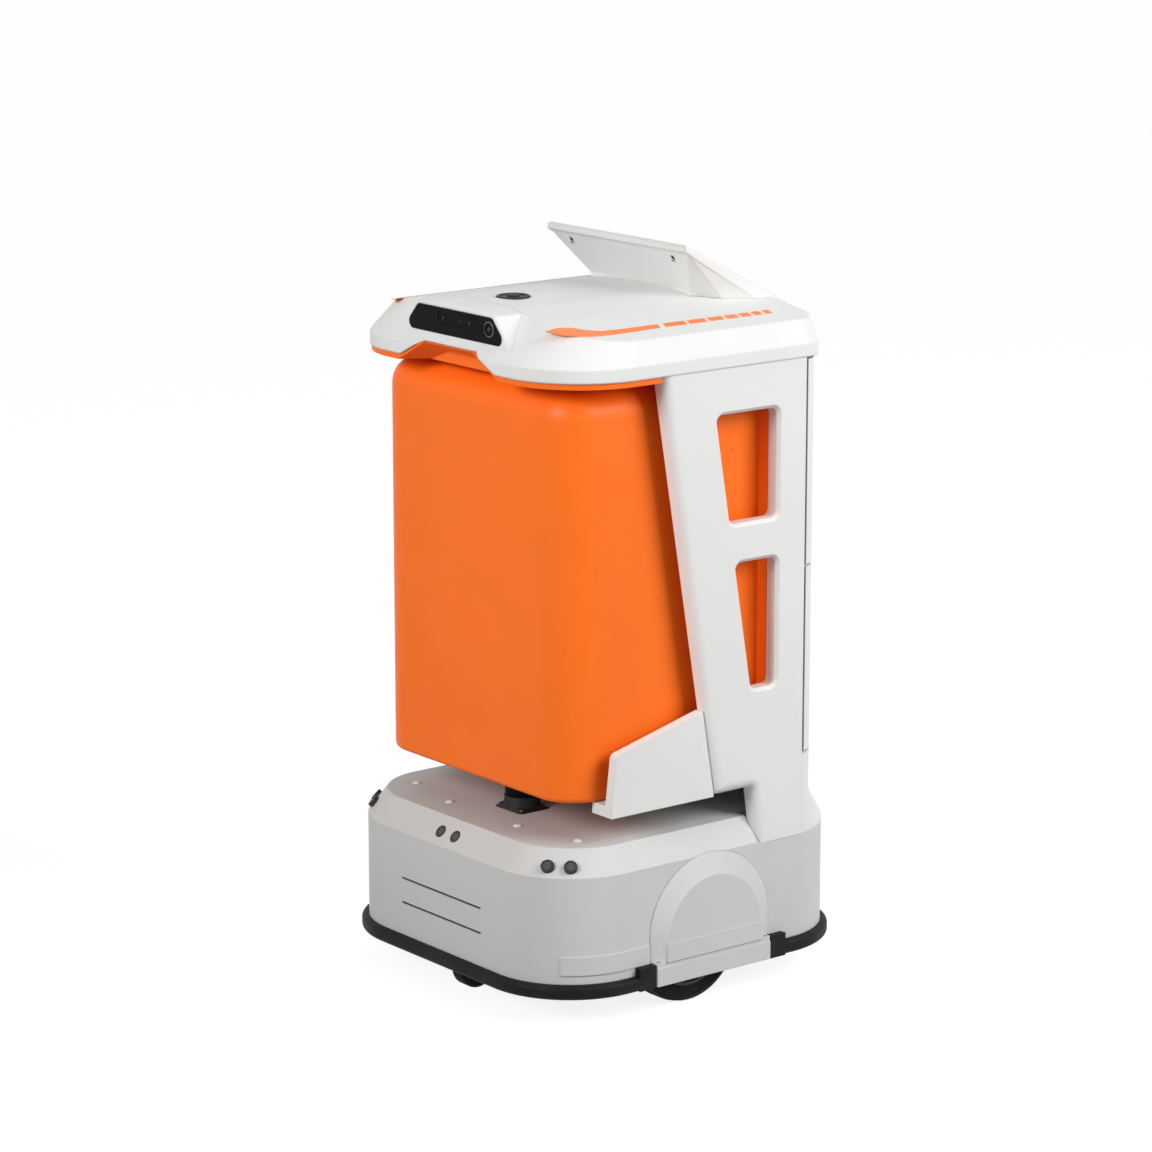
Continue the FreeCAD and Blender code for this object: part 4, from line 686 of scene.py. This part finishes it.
# %% [markdown]
# ## Base: range sensors
# Six ultrasonic sensors look out of the chamfer in pairs. Each is a black disc with a fine metal mesh in a
# black ring. Their places and directions aren't typed in again: the sensor part is one group of solids, so
# its loose pieces are found by walking along linked faces, and the front half of each piece's points gives
# its direction.

# %% Meshes and rings of the range sensors
def islands(name):
    """The separate solids of a frame part, each as a list of its points in mm."""
    mesh = bmesh.new()
    mesh.from_mesh(nodes[name].data)
    bmesh.ops.remove_doubles(mesh, verts=mesh.verts, dist=1e-6)
    left, found = set(mesh.verts), []
    while left:
        reached, edge = set(), [left.pop()]
        while edge:
            vert = edge.pop()
            reached.add(vert)
            new = {other for link_edge in vert.link_edges for other in link_edge.verts} - reached
            edge.extend(new & left)
            left -= new
        found.append([vert.co / MM for vert in reached])
    mesh.free()
    return found


def disc_face(points, hint):
    """Middle and outward direction of the end face of a short cylinder that looks along hint."""
    middle = sum(points, Vector()) / len(points)
    for _ in range(3):
        front = [point for point in points if (point - middle).dot(hint) > 0]
        hint = (sum(front, Vector()) / len(front) - middle).normalized()
    far = max((point - middle).dot(hint) for point in points)
    return middle + hint * far, hint


rings, screens = bmesh.new(), bmesh.new()
sensor_solids = islands("ultrasonic_sensors")
for points in sensor_solids:
    centre = sum(points, Vector()) / len(points)
    hint = Vector((centre.x / 3 if abs(centre.x) > 100 else 0, centre.y, 170)).normalized()
    place, out = disc_face(points, hint)
    turned(rings, facing(place, out),
           [(5.9, -1), (8.3, -1), (8.3, 0.15), (7.8, 0.5), (6.4, 0.5), (5.9, 0.1), (5.9, -1)], 32)
    turned(screens, facing(place, out), [(0, -0.5), (5.9, -0.5), (5.9, 0.05), (4, 0.3), (0, 0.45)], 32)
finishes["sensor_mesh"] = plastic("sensor_mesh", (0.035, 0.035, 0.036), 0.45, 0.05, 1.0, 2600, 0.5)
piece("range_sensor_rings", rings, "black_plastic", "frame")
piece("range_sensor_meshes", screens, "sensor_mesh", "frame")
print("range sensors found:", len(sensor_solids))

# %% [markdown]
# ## Base: grooves
# Two dark lines run across the front of the base. They are moulded grooves, and the shade in them is painted:
# the frame has the grooves, and here each gets a thin black bar with eased ends, a hair below the face,
# that stands for the shade falling in the groove.

# %% Painted shade in the grooves
base_low = node_box("base_shell")[0]
painted_shade_strips = bmesh.new()
for height in (104.8, 138.5):
    # Black bars in the grooves: painted shade where the real groove holds only shadow.
    bar(painted_shade_strips, (-88, base_low.y + 0.35, height - 0.7), (88, base_low.y + 1.4, height + 0.7), 0.3)
piece("groove_painted_shade", painted_shade_strips, "black_plastic", "frame")
print("two groove strips")

# %% [markdown]
# ## Scanner
# The laser scanner is a black drum with a glossy window band. Real ones have fine machined rings on their
# cap and foot and four small screws in the flared foot. The rings are one turned profile with shallow
# steps, far quicker than cutting grooves, and the screws are the common screw repeated in a loop.

# %% Scanner rings and screws
foot_low, foot_high = node_box("lidar_housing")
scanner = (foot_low + foot_high) / 2
drum = (node_box("lidar_window")[1].x - node_box("lidar_window")[0].x) / 2 + 1
rings = bmesh.new()
for height in (foot_high.z - 6.5, foot_high.z - 3.5, foot_low.z + 9, foot_low.z + 12, foot_low.z + 15):
    turned(rings, facing((scanner.x, scanner.y, height), UP),
           [(drum - 1, -0.6), (drum + 0.15, -0.6), (drum + 0.45, 0), (drum + 0.15, 0.6), (drum - 1, 0.6),
            (drum - 1, -0.6)], 48)
piece("scanner_rings", rings, "black_plastic", "frame")
cap = bmesh.new()
turned(cap, facing((scanner.x, scanner.y, foot_high.z - 1.4), UP),
       [(11, -0.4), (16, -0.4), (16, 1.3), (15.4, 1.4), (11.6, 1.4), (11, 1.3), (11, -0.4)], 48)
piece("scanner_cap_ring", cap, "black_plastic", "frame")
screws = bmesh.new()
for x, y in ((-24, -20), (24, -20), (24, 20), (-24, 20)):
    screw(screws, facing((scanner.x + x, scanner.y + y, foot_low.z + 3.4), UP), 2.0, 1.2, 0.8)
piece("scanner_screws", screws, "polished_steel", "frame")
print("scanner drum %.0f mm across" % (2 * drum))

# %% [markdown]
# ## Tyres
# The driven tyres have a flat tread with four grooves round them and short cuts across the shoulders. The
# frame's tyre is a plain ring, so a turned tyre of the same size replaces it, with the grooves in its
# profile. The cuts are thin dark bars set into the shoulders by a loop: they look like sipes, and stay
# inside the tyre's own outline, so the wheel still rolls on its true radius.

# %% Treaded tyres
def tyre_profile(radius, rim, half, grooves=4):
    """(radius, height) points of a grooved tyre, from one bead round to the other."""
    tread = half - 13
    points = [(rim, -half + 3), (rim + 14, -half), (radius - 2, -half + 5), (radius, -half + 13)]
    pitch = 2 * tread / grooves
    for i in range(grooves):
        middle = -tread + pitch * (i + 0.5)
        points += [(radius, middle - 1.5), (radius - 2.4, middle - 0.9), (radius - 2.4, middle + 0.9),
                   (radius, middle + 1.5)]
    return points + [(radius, half - 13), (radius - 2, half - 5), (rim + 14, half), (rim, half - 3),
                     (rim, -half + 3)]


SHOULDER_CUTS = 48
RIM_RADIUS = 62


def driven_tyre(node, body):
    """A grooved tyre with shoulder cuts, in the place of the plain one."""
    low, high = node_box(node)
    centre, radius, half = (low + high) / 2, (high.z - low.z) / 2, (high.x - low.x) / 2
    mesh = bmesh.new()
    turned(mesh, facing(centre, X_AXIS), tyre_profile(radius, RIM_RADIUS, half), 96)
    tyre = piece(node + "_tread", mesh, "tyre_rubber", body, 25)
    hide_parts(node)
    cuts = bmesh.new()
    for i in range(SHOULDER_CUTS):
        turn = Matrix.Translation(centre * MM) @ Matrix.Rotation(math.tau * i / SHOULDER_CUTS, 4, "X")
        for side in (-1, 1):
            place = turn @ Matrix.Translation(Vector((side * (half - 9), 0, radius - 1.45)) * MM)
            size = Matrix.Diagonal((7 * MM, 1.2 * MM, 1.2 * MM, 1))
            bmesh.ops.create_cube(cuts, size=1, matrix=place @ Matrix.Rotation(side * 0.22, 4, "Y") @ size)
    piece(node + "_sipes", cuts, "black_plastic", body)
    return radius, half


for side in ("left", "right"):
    radius, half = driven_tyre("tyre_" + side, side + "_wheel")
print("tyres %.0f mm across and %.0f mm wide" % (2 * radius, 2 * half))

# %% [markdown]
# ## Hubs
# A hub motor's face is a painted disc with a ring of screws and a bearing cap. The screws are laid out by a
# loop on a circle. The frame's hub keeps its shape and gets a black paint.

# %% Hub screws and caps
for side, sign in (("left", -1), ("right", 1)):
    low, high = node_box("hub_" + side)
    centre = (low + high) / 2
    face = high.x if sign > 0 else low.x
    screws = bmesh.new()
    for a, b in around(8, 44):
        screw(screws, facing((face - sign * 5, centre.y + a, centre.z + b), (sign, 0, 0)), 3.2, 2.0, 1.4)
    piece("hub_screws_" + side, screws, "polished_steel", side + "_wheel")
    cap = bmesh.new()
    turned(cap, facing((face - sign * 5, centre.y, centre.z), (sign, 0, 0)),
           [(9, -0.5), (24, -0.5), (24, 1.4), (22.5, 2.6), (14, 3.2), (12, 1.6), (9, 1.6), (9, -0.5)], 48)
    piece("hub_cap_" + side, cap, "black_plastic", side + "_wheel")
print("8 screws and a cap on each hub")

# %% [markdown]
# ## Caster wheels
# The two casters have moulded wheels on ball bearings, held by an axle bolt through the fork. A washer and
# a six-sided bolt head on each side of the fork are what one sees when the robot is tipped up.

# %% Caster bolts
for end in ("front", "rear"):
    low, high = node_box(end + "_caster_fork")
    wheel_low, wheel_high = node_box(end + "_caster_wheel")
    axle = (wheel_low + wheel_high) / 2
    bolts = bmesh.new()
    for side in (-1, 1):
        face = high.x if side > 0 else low.x
        place = facing((face, axle.y, axle.z), (side, 0, 0))
        turned(bolts, place, [(0, -0.5), (6.4, -0.5), (6.4, 0.7), (0, 0.7)], 24)
        turned(bolts, place, [(0, 0.6), (4.6, 0.6), (4.6, 2.6), (3.9, 3.2), (0, 3.2)], 6)
    piece(end + "_caster_bolts", bolts, "polished_steel", end + "_fork")
print("caster bolts on both forks")

# %% [markdown]
# ## Rear: charging port, buttons
# Behind, low on the base, is the port that docks with the charger: two flat contacts, each held by two
# rivets, and a screw at each corner of the plate. Above it sits the power button with a thin light ring,
# and higher up the red mushroom button that stops the robot. Its head carries no print, only a fine turned
# ring.

# %% Port screws and button rings
port_low, port_high = node_box("charge_port")
screws = bmesh.new()
for x in (port_low.x + 5, port_high.x - 5):
    for z in (port_low.z + 4.5, port_high.z - 4.5):
        screw(screws, facing((x, port_high.y, z), Y_AXIS), 2.4, 1.2, 1.0)
piece("port_screws", screws, "polished_steel", "frame")

contact_low, contact_high = node_box("charge_contacts")
edges = bmesh.new()
for z in (104, 120):
    for x in (contact_low.x + 2, contact_high.x - 2):
        turned(edges, facing((x, contact_high.y, z + 4), Y_AXIS),
               [(0, -0.2), (1.5, -0.2), (1.5, 0.2), (1.1, 0.4), (0, 0.4)], 16)
piece("contact_rivets", edges, "polished_steel", "frame")

finishes["light_ring"] = plastic("light_ring", (0.45, 0.62, 0.66), 0.3, 0.03, 0.03)
power_low, power_high = node_box("power_button")
power = (power_low + power_high) / 2
ring = bmesh.new()
turned(ring, facing((power.x, power_high.y, power.z), Y_AXIS),
       [(5.6, -0.3), (7.2, -0.3), (7.2, 0.2), (6.9, 0.4), (5.9, 0.4), (5.6, 0.2), (5.6, -0.3)], 40)
piece("power_light_ring", ring, "light_ring", "power_button_body")

stop_low, stop_high = node_box("stop_button")
stop = (stop_low + stop_high) / 2
ring = bmesh.new()
turned(ring, facing((stop.x, stop_high.y - 2.0, stop.z), Y_AXIS),
       [(9.0, -0.6), (12.6, -0.6), (12.4, 0.3), (11.6, 0.6), (9.6, 0.8), (9.0, 0.7), (9.0, -0.6)], 48)
piece("stop_button_ring", ring, "button_red", "stop_button_body")
print("power button %.1f mm across" % (power_high.x - power_low.x))
print("stop button %.0f mm across" % (stop_high.x - stop_low.x))

# %% [markdown]
# ## Doors: gaskets
# Each door closes on a soft rubber gasket that runs round the inside of its edge. A gasket is a hollow tube
# pressed into a groove, so it is a closed NURBS line with a round section, rounded at its corners by the
# spline itself. It rides on the door, since that is what it is pressed into.

# %% Door gaskets
def door_gasket(name, door, body):
    """A closed round gasket inside the edge of a door."""
    low, high = node_box(door)
    inset, y = 36, low.y - 1.1
    x0, x1, z0, z1 = low.x + inset, high.x - inset, low.z + 9, high.z - 9
    corners = [(x0, z0), (x1, z0), (x1, z1), (x0, z1)]
    points = []
    for (ax, az), (bx, bz) in zip(corners, corners[1:] + corners[:1]):
        points += [(ax + (bx - ax) * t, y, az + (bz - az) * t) for t in (0.04, 0.5, 0.96)]
    return tube(name, points, 1.6, "bumper_rubber", body, cyclic=True)


for door in ("upper", "lower"):
    door_gasket(door + "_door_gasket", door + "_door_liner", door + "_door_body")
print("a gasket on each door")

# %% [markdown]
# ## Compartments: mats and lamps
# The two compartments carry food and parcels, so each floor has a ribbed rubber mat that stops things
# sliding, and each ceiling has a slim lamp strip. The mat is one thin sheet with eased edges and low ribs
# in a loop. The ribs run front to back, in the direction in which a tray slides in.

# %% Mats and lamp strips
def ribbed_mat(name, half, front, rear, height):
    """A thin mat with ribs front to back."""
    mesh = bmesh.new()
    bar(mesh, (-half, front, height + 0.3), (half, rear, height + 1.5), 0.5)
    count = int(2 * half / 12)
    for i in range(count):
        x = -half + (i + 0.5) * 2 * half / count
        bar(mesh, (x - 1.5, front + 5, height + 1.2), (x + 1.5, rear - 5, height + 2.6), 0.5, 1)
    return piece(name, mesh, "bumper_rubber", "frame")


shelf_low, shelf_high = node_box("cargo_shelf")
shell_low, shell_high = node_box("cargo_shell")
ribbed_mat("upper_mat", 168, shelf_low.y + 24, shelf_high.y - 10, shelf_high.z)
ribbed_mat("lower_mat", 160, shell_low.y + 34, 95, shell_low.z + 3)
finishes["lamp_diffuser"] = plastic("lamp_diffuser", (0.85, 0.85, 0.82), 0.3, 0.01, 0.02)
for name, height in (("upper_lamp", shell_high.z - 3), ("lower_lamp", shelf_low.z)):
    mesh = bmesh.new()
    bar(mesh, (-120, 60, height - 4.3), (120, 72, height - 0.2), 1.5, 3)
    piece(name, mesh, "lamp_diffuser", "frame")
print("mats on the floor and the shelf, a lamp strip over each")

# %% [markdown]
# ## Doors: strike plates
# The doors have no handle: a solenoid lock lets them spring a little, and a finger catches the free edge.
# Worn edges there are real, but new machines are clean, so only the lock's strike plate and its two screws
# are added on the inside of each door.

# %% Strike plates
for door in ("upper", "lower"):
    low, high = node_box(door + "_door_liner")
    mesh = bmesh.new()
    middle = (low.z + high.z) / 2
    bar(mesh, (high.x - 28, low.y - 1.2, middle - 20), (high.x - 14, low.y + 0.3, middle + 20), 0.5)
    for z in (-14, 14):
        screw(mesh, facing((high.x - 21, low.y - 1.2, middle + z), FORWARD), 2.4, 1.2, 1.0)
    piece(door + "_strike_plate", mesh, "polished_steel", door + "_door_body")
print("strike plates on both doors")

# %% [markdown]
# ## Underside: bolts
# The plate under the base carries everything, so its fixings show from below: four bolts along its front
# edge and four along its rear edge, three down each side, and four on each caster plate. The bolts under a
# robot are flat hexagon heads on a washer, and loops set them out.

# %% Chassis and caster bolts
plate_low, plate_high = node_box("chassis_plate")


def hexagon_bolt(mesh, place, direction, across=8.0, height=2.2):
    """A flat hexagon head on a washer."""
    frame = facing(place, direction)
    turned(mesh, frame, [(0, -0.4), (across * 0.72, -0.4), (across * 0.72, 0.6), (0, 0.6)], 20)
    turned(mesh, frame,
           [(0, 0.4), (across * 0.56, 0.4), (across * 0.56, height - 0.4), (across * 0.48, height),
            (0, height)], 6)


bolts = bmesh.new()
edge_x, edge_y = plate_high.x - 60, plate_high.y - 14
for i in range(5):
    x = -edge_x * 0.7 + 1.4 * edge_x * i / 4
    for y in (-edge_y, edge_y):
        if abs(x) > 30:
            hexagon_bolt(bolts, (x, y, plate_low.z), DOWN, 7)
for x, y in ((120, -20), (120, 60), (120, -90)):
    for side in (-1, 1):
        hexagon_bolt(bolts, (side * x, y, plate_low.z), DOWN, 7)
piece("chassis_bolts", bolts, "polished_steel", "frame")
bolts = bmesh.new()
caster_high = node_box("caster_plates")[1]
CASTER_Y, BOLT_OFFSET, PLATE_THICK = 180, 19, 3
for end in (-1, 1):
    for x in (-BOLT_OFFSET, BOLT_OFFSET):
        for y in (-BOLT_OFFSET, BOLT_OFFSET):
            place = (x, end * CASTER_Y + y, caster_high.z - PLATE_THICK)
            hexagon_bolt(bolts, place, DOWN, 6, 2.4)
piece("caster_plate_bolts", bolts, "polished_steel", "frame")
print("chassis and caster bolts in place")

# %% [markdown]
# ## Suspension: coil springs, cups and washers
# Each spring is held in a rubber cup at its top and stands on the arm. The frame's spring is a still part,
# so a plain copy of it takes its place and the frame's own spring is hidden; the copy rides on no body. A
# turned washer lies on each arm round its axle.

# %% Coil springs, cups and axle washers
for side, sign in (("left", -1), ("right", 1)):
    low, high = node_box("suspension_arm_" + side)
    outer = high.x if sign > 0 else low.x
    spring_low, spring_high = node_box("spring_" + side)
    middle = (spring_low + spring_high) / 2
    cup = bmesh.new()
    turned(cup, facing((middle.x, middle.y, spring_high.z), DOWN),
           [(12.2, 0.2), (13.6, 0.2), (13.6, 5.0), (12.9, 5.6), (12.2, 5.0), (12.2, 0.2)], 32)
    piece("spring_cup_" + side, cup, "bumper_rubber", "frame")
    still = nodes["spring_" + side]
    coil = bpy.data.objects.new("coil_" + side, still.data.copy())
    coil.matrix_world = still.matrix_world.copy()
    bpy.context.collection.objects.link(coil)
    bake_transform(coil)
    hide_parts("spring_" + side)
    ring = bmesh.new()
    axle_low, axle_high = node_box("axle_" + side)
    axle = (axle_low + axle_high) / 2
    turned(ring, facing((outer - sign * 0.1, axle.y, axle.z), (sign, 0, 0)),
           [(8.4, 0), (13, 0), (13, 1.0), (12.4, 1.6), (8.8, 1.6), (8.4, 1.2), (8.4, 0)], 32)
    piece("axle_washer_" + side, ring, "polished_steel", side + "_arm")
print("spring cups and axle washers on both sides")

# %% [markdown]
# ## Drive controller and computer: fins
# The two electronics boxes get rid of their heat through ribbed lids. A ribbed lid is an extrusion, so each
# one is a row of upright fins with eased tops on a thin plate, made by one function for both boxes.

# %% Ribbed lids
def ribbed_lid(name, node, count, height):
    """Cooling fins along the length of a box's top."""
    low, high = node_box(node)
    mesh = bmesh.new()
    bar(mesh, (low.x + 6, low.y + 6, high.z - 0.4), (high.x - 6, high.y - 6, high.z + 1.2), 0.5, 1)
    pitch = (high.x - low.x - 16) / (count - 1)
    for i in range(count):
        x = low.x + 8 + i * pitch
        bar(mesh, (x - 0.9, low.y + 8, high.z + 0.8), (x + 0.9, high.y - 8, high.z + height), 0.5, 1)
    return piece(name, mesh, "aluminium", "frame")


ribbed_lid("drive_controller_lid", "drive_controller", 14, 11)
ribbed_lid("computer_lid", "main_computer", 18, 10)
straps = bmesh.new()
battery_low, battery_high = node_box("battery_pack")
STRAP_HALF, STRAP_PROUD, STRAP_SINK = 11, 1.4, 0.2
edge_left, edge_right = battery_low.x - STRAP_PROUD, battery_high.x + STRAP_PROUD
edge_top = battery_high.z + STRAP_PROUD
for middle in (battery_low.y + 45, battery_high.y - 45):
    front, rear = middle - STRAP_HALF, middle + STRAP_HALF
    bar(straps, (edge_left, front, battery_low.z), (battery_low.x + STRAP_SINK, rear, edge_top), 0.6)
    bar(straps, (battery_high.x - STRAP_SINK, front, battery_low.z), (edge_right, rear, edge_top), 0.6)
    bar(straps, (edge_left, front, battery_high.z - STRAP_SINK), (edge_right, rear, edge_top), 0.6)
piece("battery_straps", straps, "bumper_rubber", "frame")
print("lids and straps added")

# %% [markdown]
# ## Wiring inside the base
# Inside the closed base, short looms run from the battery to the drive controller and from there to both
# wheels. They are fixed wiring, clipped at both ends, so each is a tube along a few smooth points and rides
# on the frame.

# %% Looms
controller_low = node_box("drive_controller")[0]
for index, x in enumerate((-40, -20, 20, 40)):
    tube("battery_loom_%d" % index,
         [(x, battery_high.y - 1, 130), (x, battery_high.y + 12, 134), (x * 0.9, controller_low.y - 8, 118),
          (x * 0.9, controller_low.y + 2, 112)], 2.2, "bumper_rubber", "frame")
for sign, side in ((-1, "left"), (1, "right")):
    tube("motor_loom_" + side,
         [(sign * 69, 110, 100), (sign * 90, 108, 98), (sign * 112, 96, 90), (sign * 122, 70, 84),
          (sign * 128, 40, 82)],
         3.0, "bumper_rubber", "frame")
print("six looms")

# %% Finish
print("robot finished")
